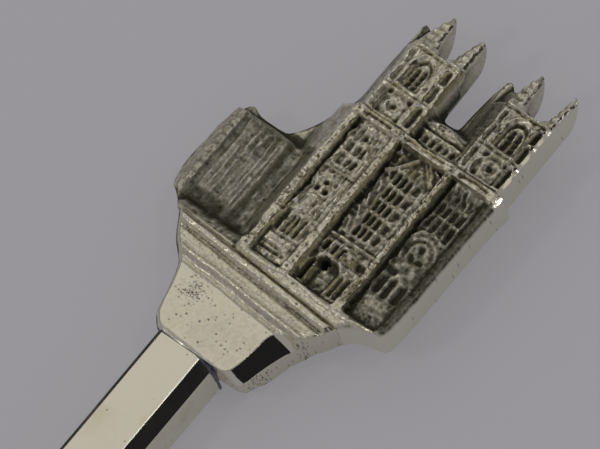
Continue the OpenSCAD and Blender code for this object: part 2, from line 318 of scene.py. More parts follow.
# %% Lay the floor and stand the cards
PAPER = paper_finish("floor_paper", (0.305, 0.299, 0.314), 0.62)
CARD_FAR = 0.5


def flat_sheet(name, matrix, width, height):
    """A rectangle lying in the matrix's xy plane."""
    w, h = width / 2, height / 2
    mesh = bpy.data.meshes.new(name)
    mesh.from_pydata([(-w, -h, 0), (w, -h, 0), (w, h, 0), (-w, h, 0)], [], [(0, 1, 2, 3)])
    sheet = bpy.data.objects.new(name, mesh)
    sheet.matrix_world = matrix
    scene.collection.objects.link(sheet)
    sheet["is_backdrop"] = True
    return sheet


def dark_card(name, towards, width, height):
    """A card that stands in one direction from the finial and faces it."""
    back = Vector(towards).normalized()
    card = flat_sheet(name, facing(LOOK_AT + back * CARD_FAR, back, (0, 0, 1)), width, height)
    card.data.materials.append(CARD.material)
    for sight in ("camera", "diffuse", "transmission", "volume_scatter", "shadow"):
        setattr(card, "visible_" + sight, False)


floor = flat_sheet("floor", Matrix.Identity(4), 24, 24)
floor.data.materials.append(PAPER.material)

CARD = Finish("dark_card")
CARD.set(Base_Color=(0.04, 0.04, 0.043), Roughness=0.9, Specular_IOR_Level=0.0)
dark_card("dark_card", (0.236, -0.888, 0.396), 0.90, 0.48)
dark_card("low_dark_card", (0.236, 0.961, 0.140), 0.90, 0.12)

# %% [markdown]
# ## From numbers to a piece
# Every piece below ends as points and faces, so one helper makes the object, gives it its
# finish, shades it smooth with crisp edges, and says what it rides on.

# %% Make a piece
def make_piece(name, points, faces, finish, slot, crisp=50, **painted):
    """A mesh from points in millimetres of the spoon's frame."""
    mesh = bpy.data.meshes.new(name)
    mesh.from_pydata((np.asarray(points, float) * MM).tolist(), [], faces)
    mesh.validate()
    for polygon in mesh.polygons:
        polygon.use_smooth = True
    mesh.set_sharp_from_angle(angle=math.radians(crisp))
    for layer_name, numbers in painted.items():
        layer = mesh.attributes.new(layer_name, "FLOAT", "POINT")
        layer.data.foreach_set("value", np.asarray(numbers, np.float32))
    piece = bpy.data.objects.new(name, mesh)
    piece.data.materials.append(finish.material)
    scene.collection.objects.link(piece)
    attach(piece, "root")
    print(name, len(mesh.vertices), "points,", len(mesh.polygons), "faces")
    return piece


def skin_rings(rings, start_cap=True, end_cap=True):
    """Points and faces of a closed tube through rings that all have as many points."""
    n = len(rings[0])
    points = [p for ring in rings for p in ring]
    faces = []
    for i in range(len(rings) - 1):
        for j in range(n):
            k = (j + 1) % n
            faces.append((i * n + j, i * n + k, (i + 1) * n + k, (i + 1) * n + j))
    if start_cap:
        faces.append(tuple(range(n - 1, -1, -1)))
    if end_cap:
        faces.append(tuple(range((len(rings) - 1) * n, len(rings) * n)))
    return points, faces


print("every piece rides on root, the spoon's one body")


# %% [markdown]
# ## A sheet of wax
# The finial is a relief: one face of detail, cast from a carved master. So it is made the way
# a carver makes it, on a sheet of heights over a fine grid. Planes are laid, blocks are added,
# windows are sunk, ribs and beads are run on, and at the end the whole sheet is softened, as
# the mould and years of polishing soften the real one.
# Lengths are millimetres on the upright church: x to its right, y up from the plinth's top,
# and z out of its face from the middle of the stem.

# %% Shapes that can be pressed into the sheet
def box(l, b, r, t):
    """Bounds and signed distance of a rectangle: left, bottom, right, top."""
    return (l, b, r, t), lambda x, y: np.maximum(np.maximum(l - x, x - r), np.maximum(b - y, y - t))


def disc(cx, cy, radius):
    bounds = (cx - radius, cy - radius, cx + radius, cy + radius)
    return bounds, lambda x, y: np.hypot(x - cx, y - cy) - radius


def arch(l, b, r, spring, top):
    """A window with a pointed head, or a round one where top - spring is half its width."""
    cx, half, rise = (l + r) / 2, (r - l) / 2, top - spring
    radius = (rise * rise + half * half) / (2 * half)

    def distance(x, y):
        dx = np.abs(x - cx)
        head = np.hypot(dx + radius - half, y - spring) - radius
        return np.maximum(b - y, np.where(y > spring, head, dx - half))

    return (l, b, r, top), distance


def stroke(points):
    """Bounds and distance of a line through points."""
    xs, ys = [p[0] for p in points], [p[1] for p in points]

    def distance(x, y):
        best = np.full(x.shape, 9.0)
        for (ax, ay), (bx, by) in zip(points, points[1:]):
            ex, ey = bx - ax, by - ay
            share = ((x - ax) * ex + (y - ay) * ey) / (ex * ex + ey * ey + 1e-9)
            share = np.clip(share, 0, 1)
            best = np.minimum(best, np.hypot(x - ax - share * ex, y - ay - share * ey))
        return best

    return (min(xs), min(ys), max(xs), max(ys)), distance


def bar(points, half):
    """Bounds and distance of a line with a width."""
    bounds, distance = stroke(points)
    return bounds, lambda x, y: distance(x, y) - half


print("shapes:", [shape.__name__ for shape in (box, disc, arch, stroke, bar)])

# %% [markdown]
# ## Easy curves and a blur
# Nothing on a worn casting stops sharply, so every mask and every edge runs along an easy
# curve. A band is an easy hill, and the blur is what a mould and years of polishing do.

# %% Curves, a mix and a blur
def smooth(a, b, x):
    """0 below a, 1 above b, and an easy curve between."""
    t = np.clip((x - a) / (b - a), 0, 1)
    return t * t * (3 - 2 * t)


def blur(field, cells):
    """A Gaussian blur, along the rows and then along the columns."""
    reach = max(1, int(cells * 3))
    taps = np.exp(-0.5 * (np.arange(-reach, reach + 1) / cells) ** 2)
    taps /= taps.sum()
    for axis in (0, 1):
        pad = [(0, 0), (0, 0)]
        pad[axis] = (reach, reach)
        wide = np.pad(field, pad, mode="edge")
        size = field.shape[axis]
        field = sum(t * np.take(wide, range(i, i + size), axis) for i, t in enumerate(taps))
    return field


def band(x, low, full, fall, gone):
    """1 from full to fall, 0 below low and above gone."""
    return smooth(low, full, x) * smooth(gone, fall, x)


def mix(first, second, share):
    """First where share is 0, second where it is 1."""
    return first * (1 - share) + second * share


print("half way up the curve:", smooth(0, 1, 0.5))

# %% [markdown]
# ## The sheet itself
# The sheet keeps its own seeded random numbers, so it always comes out the same. Its u and v
# are x and y bent a little by clouds, so that no carved line is quite straight. Each tool takes
# a shape, finds the part of the grid it can touch, and changes the heights there.

# %% The carver's tools
class Wax:
    """A sheet of heights over a grid of the church's x and y."""

    def __init__(self, left, bottom, right, top, pitch, seed):
        self.pitch = pitch
        self.xs = np.arange(left, right + pitch, pitch)
        self.ys = np.arange(bottom, top + pitch, pitch)
        self.x, self.y = np.meshgrid(self.xs, self.ys)
        self.h = np.zeros_like(self.x)
        self.random = np.random.default_rng(seed)
        self.u = self.x + 0.035 * self.cloud(0.8) + 0.012 * self.cloud(0.25)
        self.v = self.y + 0.035 * self.cloud(0.8) + 0.012 * self.cloud(0.25)

    def cloud(self, size, length=None):
        """A smooth random field, mostly between -1 and 1, with lumps of that size and length."""
        p, q = (self.x - self.xs[0]) / size, (self.y - self.ys[0]) / (length or size)
        i, j = np.floor(q).astype(int), np.floor(p).astype(int)
        knots = self.random.normal(0, 0.6, (i.max() + 2, j.max() + 2))
        s, t = smooth(0, 1, q - i), smooth(0, 1, p - j)
        low = knots[i, j] * (1 - t) + knots[i, j + 1] * t
        high = knots[i + 1, j] * (1 - t) + knots[i + 1, j + 1] * t
        return low * (1 - s) + high * s

    def window(self, bounds, margin):
        l, b, r, t = bounds
        rows = np.searchsorted(self.ys, (b - margin, t + margin))
        columns = np.searchsorted(self.xs, (l - margin, r + margin))
        return slice(*rows), slice(*columns)

    def cover(self, shape, edge, margin=0.3):
        """Where a shape lies, and how much of it is there: 1 inside, 0 outside."""
        bounds, distance = shape
        w = self.window(bounds, margin + edge)
        return w, smooth(0.5, -0.5, distance(self.u[w], self.v[w]) / edge)

    def lift(self, shape, z, edge=0.09):
        """Build up to height z inside a shape."""
        w, share = self.cover(shape, edge)
        self.h[w] += np.maximum(z - self.h[w], 0) * share

    def sink(self, shape, z, edge=0.09):
        """Carve down to height z inside a shape."""
        w, share = self.cover(shape, edge)
        self.h[w] += np.minimum(z - self.h[w], 0) * share

    def add(self, shape, amount, edge=0.12):
        w, share = self.cover(shape, edge)
        self.h[w] += amount * share

    def bead(self, points, width, height):
        """A round bead along a line, or a round groove where height is negative."""
        bounds, distance = stroke(points)
        w = self.window(bounds, width + 0.1)
        away = distance(self.u[w], self.v[w]) / (width / 2)
        self.h[w] += height * np.sqrt(np.clip(1 - away * away, 0, 1))

    def pit(self, cx, cy, radius, depth):
        w = self.window((cx - radius, cy - radius, cx + radius, cy + radius), 0.1)
        away = np.hypot(self.x[w] - cx, self.y[w] - cy) / radius
        self.h[w] -= depth * np.clip(1 - away * away, 0, 1)

    def soften(self, size, share=1):
        """Blur the heights over a size in millimetres, wholly or by a share."""
        self.h = mix(self.h, blur(self.h, size / self.pitch), share)


print("tools: lift, sink, add, bead, pit, soften")

# %% [markdown]
# ## The finial's outline
# The mould parted along one level line round the casting, the widest it is. The outline below
# follows that line, corner by corner. The church and the plinth under it are cut apart in the
# dark groove between them, so that each sheet stays small.

# %% Outline of the casting at its parting line
OUTLINE = [
    (-1.67, -5.33), (-2.1, -5.1), (-2.55, -4.6), (-2.75, -4.0), (-2.95, -3.1), (-3.2, -2.3),
    (-3.4, -1.85), (-3.75, -1.5), (-4.3, -1.0), (-4.65, -0.5), (-4.95, 0.0), (-5.3, 0.5),
    (-5.9, 1.0), (-6.45, 1.3), (-6.8, 1.9), (-6.95, 2.7), (-6.9, 4.0), (-6.7, 5.2),
    (-6.5, 6.1), (-6.3, 6.7), (-6.0, 6.95), (-5.6, 6.75), (-5.3, 6.65), (-3.9, 6.65),
    (-3.6, 6.8), (-3.2, 7.3), (-2.85, 7.9), (-2.6, 8.5), (-2.5, 9.2), (-2.35, 9.6),
    (-2.05, 9.85), (-1.98, 10.4), (-2.0, 11.6), (-1.95, 13.6), (-1.9, 14.6), (-1.72, 15.02),
    (-1.42, 14.98), (-1.15, 14.72), (-0.92, 14.8), (-0.62, 15.15), (-0.38, 15.55),
    (-0.1, 15.72), (0.03, 15.6), (0.08, 15.0), (0.15, 14.4), (0.3, 13.75), (1.1, 13.65),
    (1.3, 14.2), (1.45, 14.8), (1.55, 15.36), (1.75, 15.56), (1.95, 15.5), (2.02, 15.1),
    (2.06, 14.4), (2.1, 13.0), (2.12, 11.7), (2.3, 11.52), (2.95, 11.55), (3.1, 11.7),
    (3.12, 12.4), (3.2, 13.4), (3.3, 14.3), (3.5, 14.85), (3.8, 15.0), (4.05, 14.75),
    (4.35, 14.5), (4.75, 14.45), (4.95, 14.85), (5.1, 15.45), (5.35, 15.72), (5.55, 15.62),
    (5.62, 15.0), (5.66, 14.3), (5.75, 13.85), (6.95, 13.82), (7.15, 14.2), (7.25, 14.8),
    (7.22, 15.2), (7.35, 15.62), (7.5, 15.74), (7.66, 15.52), (7.64, 14.8), (7.64, 12.0),
    (7.66, 9.9), (7.75, 9.55), (8.05, 9.4), (8.05, 8.95), (7.95, 8.7), (7.9, 6.0),
    (7.88, 2.0), (7.75, 0.45), (7.3, 0.3), (6.2, 0.1), (5.6, -0.4), (5.0, -1.4),
    (4.6, -1.8), (4.1, -2.4), (3.8, -3.4), (3.58, -4.3), (3.42, -5.0), (3.25, -5.25), (2.9, -5.33),
]
TILT, GROOVE_DROP = 0.0677, 0.07
print("corners drawn:", len(OUTLINE))

# %% [markdown]
# ## Rounding, cutting and measuring the outline
# Every corner is cut off, so that none is sharp. The groove slopes a little, as the
# mouldings do. Every point of a sheet needs its distance to the outline, since the edge of the
# casting is rounded over and its side walls start there.

# %% Work with an outline
def rounded(points, rounds=1):
    """Each corner cut off at a quarter of its sides."""
    points = np.asarray(points, float)
    for _ in range(rounds):
        after = np.roll(points, -1, 0)
        cuts = [points * 0.75 + after * 0.25, points * 0.25 + after * 0.75]
        points = np.stack(cuts, 1).reshape(-1, 2)
    return points


def above_groove(point):
    """Height of a point over the sloping groove under the church."""
    return point[1] + TILT * point[0] + GROOVE_DROP


def cut_at_groove(points, above):
    """The part of an outline above or below the groove."""
    kept = []
    side = 1 if above else -1
    for a, b in zip(points, np.roll(points, -1, 0)):
        level_a, level_b = side * above_groove(a), side * above_groove(b)
        if level_a >= 0:
            kept.append(a)
        if (level_a >= 0) != (level_b >= 0):
            kept.append(a + (b - a) * (level_a / (level_a - level_b)))
    return np.array(kept)


def outline_distance(wax, points, reach):
    """Signed distance to a closed outline, negative inside, measured as far as reach."""
    square = np.full(wax.x.shape, reach * reach)
    inside = np.zeros(wax.x.shape, bool)
    for (ax, ay), (bx, by) in zip(points, np.roll(points, -1, 0)):
        w = wax.window((min(ax, bx), min(ay, by), max(ax, bx), max(ay, by)), reach)
        px, py, ex, ey = wax.x[w] - ax, wax.y[w] - ay, bx - ax, by - ay
        share = np.clip((px * ex + py * ey) / (ex * ex + ey * ey + 1e-12), 0, 1)
        square[w] = np.minimum(square[w], (px - share * ex) ** 2 + (py - share * ey) ** 2)
        rows = (wax.ys >= min(ay, by)) & (wax.ys < max(ay, by))
        if rows.any():
            crossing = ax + (wax.ys[rows] - ay) * ex / ey
            inside[rows] ^= wax.xs[None, :] < crossing[:, None]
    return np.where(inside, -1, 1) * np.sqrt(square)


def nearest_on(points, x, y):
    """The nearest point of an outline to each place."""
    best = np.full(x.shape, 1e9)
    nx, ny = x.copy(), y.copy()
    for (ax, ay), (bx, by) in zip(points, np.roll(points, -1, 0)):
        ex, ey = bx - ax, by - ay
        share = np.clip(((x - ax) * ex + (y - ay) * ey) / (ex * ex + ey * ey + 1e-12), 0, 1)
        qx, qy = ax + share * ex, ay + share * ey
        away = (x - qx) ** 2 + (y - qy) ** 2
        nearer = away < best
        best[nearer], nx[nearer], ny[nearer] = away[nearer], qx[nearer], qy[nearer]
    return nx, ny


WHOLE_OUTLINE = rounded(OUTLINE)
CHURCH_OUTLINE = cut_at_groove(WHOLE_OUTLINE, True)
PLINTH_OUTLINE = cut_at_groove(WHOLE_OUTLINE, False)
print("outline corners:", len(WHOLE_OUTLINE), len(CHURCH_OUTLINE), len(PLINTH_OUTLINE))


# %% [markdown]
# ## The parting line and the spoon's frame
# The two halves of the mould met along a line that is nearly level. It drops along the neck,
# comes up again at the neck's end, and rises at the tips of the pinnacles. The church is
# modelled upright and then laid down along the spoon.

# %% The parting level, and laying the church down
CHURCH_FOOT_X, HALF_THICK = 42.9, 1.7


def parting_level(x, y):
    """Height of the parting line: level under the church, lower at the neck, up at the tips."""
    tips = 1.5 * (np.clip(y - 14.3, 0, None) / 1.3) ** 2.2
    neck = smooth(-1.4, -2.3, y) - 1.3 * smooth(-3.7, -5.3, y)
    return 0.1 - 0.55 * neck + tips


def laid(x, y, z):
    """Church coordinates to spoon coordinates, in millimetres."""
    return np.stack([CHURCH_FOOT_X + y, -x, z + HALF_THICK], -1)


LEVELS = parting_level(0.0, np.array([-3.0, 5.0, 15.7]))
print("parting level along the neck, at the front and at the tips:", LEVELS.round(2))


# %% [markdown]
# ## Casting a sheet
# The sheet becomes a solid in two steps. First the cells inside the outline are kept, and the
# points round their rim are put in order, since the side walls hang from them.

# %% Keep the cells inside the outline
def kept_cells(near, pitch):
    """Cells whose four corners are inside, without any that meet only at a corner."""
    corner = near < 0.35 * pitch
    cell = corner[:-1, :-1] & corner[1:, :-1] & corner[:-1, 1:] & corner[1:, 1:]
    for _ in range(20):
        around = np.pad(cell, 1)
        a, b, c, d = around[:-1, :-1], around[:-1, 1:], around[1:, :-1], around[1:, 1:]
        touch = (a & d & ~b & ~c) | (b & c & ~a & ~d)
        if not touch.any():
            break
        for i, j in zip(*np.nonzero(touch)):
            around[i:i + 2, j:j + 2] = False
        cell = around[1:-1, 1:-1]
    return cell


def rim_loops(cell):
    """The grid points round the kept cells, in order, as numbers into the flattened grid."""
    rows, columns = cell.shape
    across = columns + 1
    around = np.pad(cell, 1)
    after = {}
    steps = (
        (~around[:-2, 1:-1], (0, 0), (0, 1)), (~around[1:-1, 2:], (0, 1), (1, 1)),
        (~around[2:, 1:-1], (1, 1), (1, 0)), (~around[1:-1, :-2], (1, 0), (0, 0)),
    )
    for outside, (ai, aj), (bi, bj) in steps:
        i, j = np.nonzero(cell & outside)
        starts, ends = (i + ai) * across + j + aj, (i + bi) * across + j + bj
        after.update(zip(starts.tolist(), ends.tolist()))
    loops = []
    while after:
        start, step = next(iter(after.items()))
        loop = [start]
        del after[start]
        while step != start:
            loop.append(step)
            step = after.pop(step)
        loops.append(loop)
    return loops


def patch(wax, near):
    """The kept points of the grid, the faces between them, and the loops round their rim."""
    cell = kept_cells(near, wax.pitch)
    across = len(wax.xs)
    i, j = np.nonzero(cell)
    here = i * across + j
    corners = np.stack([here, here + 1, here + across + 1, here + across], 1)
    used = np.unique(corners)
    number = np.full(wax.x.size, -1)
    number[used] = np.arange(len(used))
    return used, number[corners], [number[np.array(loop)] for loop in rim_loops(cell)]


print("a 3 by 3 block has a rim of", len(rim_loops(np.ones((3, 3), bool))[0]), "points")

# %% [markdown]
# ## The side walls and the cap
# The rim is then moved onto the outline exactly, and rings of points drop from it to the
# parting line. A flat cap closes the solid underneath, where the back half of the casting
# meets it. Tarnish is worked out from the heights: narrow hollows, broad ones and low ground.

# %% Turn a sheet into a closed solid
def groove_ends(points):
    """The two corners where the outline was cut."""
    return [point for point in points if abs(above_groove(point)) < 1e-6]


def cast(wax, outline, near, tarnish, polish, wall_rings, wall_look, wall_bumps=0.0):
    """Points and faces of the solid under a sheet of wax, its tarnish and shade, and its polish."""
    used, quads, rims = patch(wax, near)
    x, y, z = (a.ravel()[used].copy() for a in (wax.x, wax.y, wax.h))
    dull, shine = tarnish.ravel()[used].tolist(), polish.ravel()[used].tolist()
    faces = quads.tolist()
    rise_y, rise_x = (slope_of.ravel()[used] for slope_of in np.gradient(wax.h, wax.pitch))
    for rim in rims:
        before = x[rim].copy(), y[rim].copy()
        x[rim], y[rim] = nearest_on(outline, x[rim], y[rim])
        for corner in groove_ends(outline):
            k = rim[np.argmin(np.hypot(x[rim] - corner[0], y[rim] - corner[1]))]
            x[k], y[k] = corner
        shift = rise_x[rim] * (x[rim] - before[0]) + rise_y[rim] * (y[rim] - before[1])
        z[rim] += np.clip(shift, -0.1, 0.1)
    z = np.maximum(z, parting_level(x, y) + 0.02)
    points = [laid(x, y, z)]
    count = len(x)
    for rim in rims:
        n = len(rim)
        top, low = z[rim], parting_level(x[rim], y[rim]) - 0.02
        above = rim
        noise = wax.random.normal(0, 1, (wall_rings, n))
        noise = sum(np.roll(noise, k, 1) for k in (-2, -1, 0, 1, 2)) / 5
        run_x, run_y = (np.roll(a[rim], -1) - np.roll(a[rim], 1) for a in (x, y))
        outward = np.stack([run_y, -run_x])
        outward /= np.hypot(*outward) + 1e-9
        for k in range(1, wall_rings + 1):
            share = k / wall_rings
            out = wall_bumps * noise[k - 1] * (share < 1)
            level = top + (low - top) * share
            ring = laid(x[rim] + outward[0] * out, y[rim] + outward[1] * out, level)
            points.append(ring)
            below = np.arange(count, count + n)
            count += n
            faces += np.stack([above, below, np.roll(below, -1), np.roll(above, -1)], 1).tolist()
            tone, gloss = wall_look(x[rim], y[rim], share)
            dull += tone.tolist()
            shine += gloss.tolist()
            above = below
        cap = tessellate_polygon([[Vector((float(p[0]), float(p[1]), 0)) for p in ring]])
        faces += [(int(above[c]), int(above[b]), int(above[a])) for a, b, c in cap]
    return np.concatenate(points), faces, {"tarnish": dull, "polish": shine}


def tarnish_of(wax):
    """How dark each point is: in narrow hollows, in broad ones, and low down."""
    narrow = np.clip((blur(wax.h, 0.12 / wax.pitch) - wax.h) / 0.055, -1.2, 1.4)
    broad = np.clip((blur(wax.h, 0.4 / wax.pitch) - wax.h) / 0.45, -0.8, 1.2)
    low = np.clip((2.1 - wax.h) / 1.5, 0, 1)
    worn = smooth(2.0, 2.2, wax.h)
    return np.clip(0.175 - 0.10 * worn + 0.34 * narrow + 0.28 * broad + 0.28 * low, 0, 1)


# %% [markdown]
# ## The church: masses first
# A carver blocks out the masses before any detail. The front stands highest. Its left flank
# falls away in a hollow to the nave wall, which is lower and ends in a strip of corner stones.
# The towers rise above the string course, and the gable between them is set back. The carving
# is done with a few tools, so each gets a short name here.

# %% Lay the planes and block out the towers
GRID = 0.046
FRONT_LEFT, FRONT_Z, STRING_TOP = -1.05, 2.15, 9.45
church = Wax(-7.2, -1.0, 8.4, 16.0, GRID, seed=7)
u, v = church.u, church.v
lift, sink, add, bead, cloud = church.lift, church.sink, church.add, church.bead, church.cloud
chance = church.random.uniform
WALL_X = [-7.0, -6.6, -6.15, -5.98, -5.66, -5.6, -5.36, -5.28, -4.5, -3.3, -3.05, -2.8, -2.5, -2.2,
          -1.9, -1.5, -1.16, -1.05]
WALL_Z = [0.0, 0.6, 1.02, 1.14, 1.16, 1.00, 0.97, 1.08, 1.04, 0.92, 0.76, 0.50, 0.36, 0.42,
          0.80, 1.40, 2.02, 2.15]
flank = np.clip(FRONT_Z - 1.25 * (FRONT_LEFT - u), 0, FRONT_Z)
church.h = mix(np.interp(u, WALL_X, WALL_Z), flank, smooth(6.25, 6.6, v))
church.h[u > FRONT_LEFT] = FRONT_Z
left_tower = np.clip(2.05 - 1.6 * (-0.8 - u), 0, 2.05)
right_tower = np.clip(2.02 - 1.15 * (4.95 - u), 0, 2.02)
gable_wall = np.where(v < 10.95, 1.42, 1.42 - 2.4 * (v - 10.95))
sky_line = np.where(u < 2.1, left_tower, np.maximum(gable_wall, right_tower))
church.h = np.where(v > STRING_TOP, sky_line, church.h)
ledge = 1.38 - 0.9 * smooth(0.75, 1.15, v)
church.h = np.where((u < FRONT_LEFT) & (v < 1.15), np.maximum(ledge, church.h), church.h)
print("sheet", church.h.shape)

# %% [markdown]
# ## The front
# Four buttresses divide the front into three bays. The side bays are shallow and the middle one
# is deep, so dark slots show beside the buttresses. Each buttress has two joints, a stepped
# foot and worn panels.

# %% Sink the bays and dress the buttresses
BAYS = ((-0.62, 0.45, 1.45, 1.58), (1.94, 0.42, 4.78, 1.18), (5.25, 0.45, 7.36, 1.46))
BUTTRESSES = (
    (-1.05, -0.62, 6.1, 3.05), (1.45, 1.92, 6.1, 3.0), (4.78, 5.22, 6.2, 2.4), (7.38, 7.9, 6.1, 3.0),
)
for left, sill, right, floor_z in BAYS:
    sink(box(left, sill, right, 8.98), floor_z, 0.10)
for left, right, *joints in BUTTRESSES:
    for y in joints:
        bead([(left - 0.05, y), (right + 0.05, y)], 0.12, -0.13)
        bead([(left - 0.06, y - 0.14), (right + 0.06, y - 0.14)], 0.14, 0.06)
    lift(box(left - 0.06, 0.4, right + 0.06, joints[1] - 0.1), 2.18, 0.06)
    lift(box(left - 0.12, 0.3, right + 0.12, 0.9), 2.22, 0.08)
for x, low, high, width, depth in (
    (-0.83, 6.6, 8.6, 0.13, 0.06), (-0.83, 4.0, 5.6, 0.13, 0.06), (1.68, 6.7, 8.4, 0.13, 0.06),
    (1.68, 3.6, 5.4, 0.13, 0.06), (-0.83, 1.3, 2.6, 0.13, 0.06), (5.0, 0.9, 2.2, 0.16, 0.16),
    (5.0, 2.65, 6.0, 0.15, 0.10), (5.0, 6.4, 8.8, 0.15, 0.12), (7.5, 0.8, 8.7, 0.30, 0.16),
):
    bead([(x, low), (x, high)], width, -depth)
print("buttresses:", len(BUTTRESSES))

# %% [markdown]
# ## The string course
# A moulding runs across the top of the front. It is a raised band with a groove over each bay,
# and wear has broken it into knots, so short notches of random depth cross it.

# %% Run the string course
lift(box(-1.08, 8.9, 8.3, 9.46), 2.26, 0.08)
for left, right in ((-0.25, 1.15), (2.3, 4.45), (5.7, 7.2)):
    bead([(left, 9.24), ((left + right) / 2, 9.29), (right, 9.22)], 0.14, -0.24)
    add(disc(left - 0.1, 9.2, 0.12), -0.18, 0.1)
for k in range(16):
    x = -0.9 + 0.54 * k + chance(-0.15, 0.15)
    bead([(x, 9.02), (x + chance(-0.1, 0.1), 9.42)], 0.11, chance(-0.16, 0.02))
bead([(-1.0, 8.97), (7.4, 8.97)], 0.10, 0.05)
bead([(-1.0, 9.5), (2.0, 9.52), (5.0, 9.5), (7.4, 9.5)], 0.11, -0.12)


# %% [markdown]
# ## A mason's patterns
# The same few ornaments come back all over the front: rows of lights, three holes in a
# triangle, beads round pointed arches, and beads side by side or one above another.

# %% Patterns that repeat
def lights(xs, ys, w, h, depth):
    """A window of small lights, each with a round head."""
    for x in xs:
        for y in ys:
            add(arch(x - w / 2, y - h / 2, x + w / 2, y + h * 0.25, y + h / 2), -depth, 0.08)


def trefoil(x, y, spread, radius, depth):
    """Three round holes."""
    for dx, dy in ((0, 0.55), (-0.5, -0.3), (0.5, -0.3)):
        add(disc(x + dx * spread, y + dy * spread, radius), -depth, 0.07)


def pointed(l, b, r, spring, top, width, height):
    """A bead round a pointed arch."""
    half, rise, cx = (r - l) / 2, top - spring, (l + r) / 2
    radius = (rise * rise + half * half) / (2 * half)
    turn = math.asin(min(1.0, rise / radius))
    curve = [(r, b)]
    for k in range(8):
        a = turn * k / 7
        curve.append((cx + half - radius + radius * math.cos(a), spring + radius * math.sin(a)))
    bead(curve + [(2 * cx - x, y) for x, y in reversed(curve)], width, height)


def upright(xs, low, high, width, height, lean=0.0):
    """Beads that stand side by side."""
    for x in xs:
        bead([(x, low), (x + lean, high)], width, height)


def across(ys, left, right, width, height, lean=0.0):
    """Beads that lie one above another."""
    for y in ys:
        bead([(left, y), (right, y + lean)], width, height)


def knobs(places, height, edge):
    """Round lumps, each given by its middle and radius, or hollows where height is negative."""
    for x, y, radius in places:
        add(disc(x, y, radius), height, edge)


# %% [markdown]
# ## The left bay
# From the top: two rows of lights under a pointed arch, a trefoil, four narrow lights, and a
# plain block. Shafts run up its right side.

# %% Carve the left bay
lift(box(-0.46, 0.5, 1.5, 8.95), 1.76, 0.10)
lift(box(-0.64, 0.5, -0.3, 4.3), 1.72, 0.10)
upright((-0.44,), 4.4, 8.9, 0.12, 0.12)
bead([(-0.56, 2.2), (-0.52, 3.2), (-0.3, 4.2)], 0.12, 0.16)
upright((0.86, 1.02, 1.18, 1.34), 0.7, 8.8, 0.11, 0.12)
lights((-0.08, 0.38, 0.76), (6.72, 7.48), 0.24, 0.50, 0.20)
across((7.10,), -0.3, 0.92, 0.10, 0.10, lean=0.02)
upright((-0.2, 0.12, 0.45, 0.75), 7.9, 8.85, 0.11, 0.10, lean=0.1)
knobs([(0.4, 8.2, 0.09)], -0.14, 0.08)
pointed(-0.30, 6.15, 0.9, 7.9, 8.9, 0.11, 0.10)
across((6.12,), -0.4, 1.4, 0.12, 0.12)
across((6.0,), -0.4, 1.4, 0.10, -0.12)
bead([(-0.42, 5.1), (0.2, 5.85), (0.8, 5.1)], 0.12, 0.12)
trefoil(0.20, 5.02, 0.52, 0.11, 0.34)
pointed(-0.50, 2.1, 0.95, 3.5, 4.5, 0.12, 0.14)
upright((-0.3, 0.0, 0.3, 0.62), 3.4, 4.35, 0.12, 0.10, lean=0.04)
lights((-0.32, 0.10, 0.34, 0.72), (2.65,), 0.17, 1.1, 0.22)
upright((-0.16, 0.22, 0.52), 2.05, 3.25, 0.11, 0.10)
lift(box(-0.45, 1.28, 0.98, 1.82), 1.92, 0.10)
across((1.12, 0.80), -0.35, 1.0, 0.12, 0.14, lean=0.02)
across((0.96,), -0.35, 1.0, 0.12, -0.12, lean=0.01)

# %% [markdown]
# ## The middle bay: the great window
# Five rows of lights stand between bars that sway a little, because the bars are worn. Short
# hoods cross them, and two arms of a gable lean together over the top.

# %% Carve the great window
MULLIONS = (2.70, 3.04, 3.36, 3.78, 4.36)
PANE_ROWS = (4.34, 5.06, 5.84, 6.66, 7.50)
lift(box(2.02, 3.55, 4.74, 8.9), 1.46, 0.10)
lights((2.88, 3.20, 3.55), PANE_ROWS, 0.18, 0.58, 0.26)
lights((4.06,), PANE_ROWS, 0.24, 0.46, 0.16)
lights((2.48,), PANE_ROWS, 0.16, 0.36, 0.08)
for x in MULLIONS:
    sway = chance(-0.05, 0.05, 6)
    bead([(x + sway[k], 4.1 + 0.78 * k) for k in range(6)], 0.12, 0.17 if x < 4 else 0.08)
for y in (4.66, 5.40, 6.20, 7.12):
    for x in MULLIONS:
        hood = [(x - 0.16, y - chance(-0.06, 0.14)), (x + 0.02, y), (x + 0.2, y - 0.04)]
        bead(hood, 0.13, chance(0.04, 0.16))
for y in (4.4, 5.1, 5.9, 6.75, 7.5):
    bead([(2.2, y + 0.26), (2.36, y + 0.05), (2.44, y - 0.22)], 0.16, 0.16)
for tracery in (
    [(2.1, 8.9), (2.35, 8.5), (2.6, 8.9)], [(2.3, 8.3), (2.5, 8.6)], [(4.2, 8.8), (4.5, 8.7)],
    [(2.8, 7.9), (3.0, 8.2)], [(3.3, 7.9), (3.35, 8.35)], [(3.7, 7.9), (3.75, 8.3)],
):
    bead(tracery, 0.14, 0.30)
for low_end, high_end, arm_z in (
    ((2.16, 7.55), (3.34, 8.98), 1.80), ((3.5, 8.95), (4.42, 8.0), 1.76),
    ((3.8, 8.95), (4.6, 8.05), 1.72),
):
    lift(bar([low_end, high_end], 0.075), arm_z, 0.07)
lift(box(1.88, 8.42, 2.6, 8.95), 1.58, 0.10)
print("panes:", 5 * len(PANE_ROWS))

# %% [markdown]
# ## The middle bay: the doorway
# Under the window's sill runs a small arcade, worn to lumps on its right. The doorway below it
# is sunk deepest of all, with narrow niches and shafts beside it.

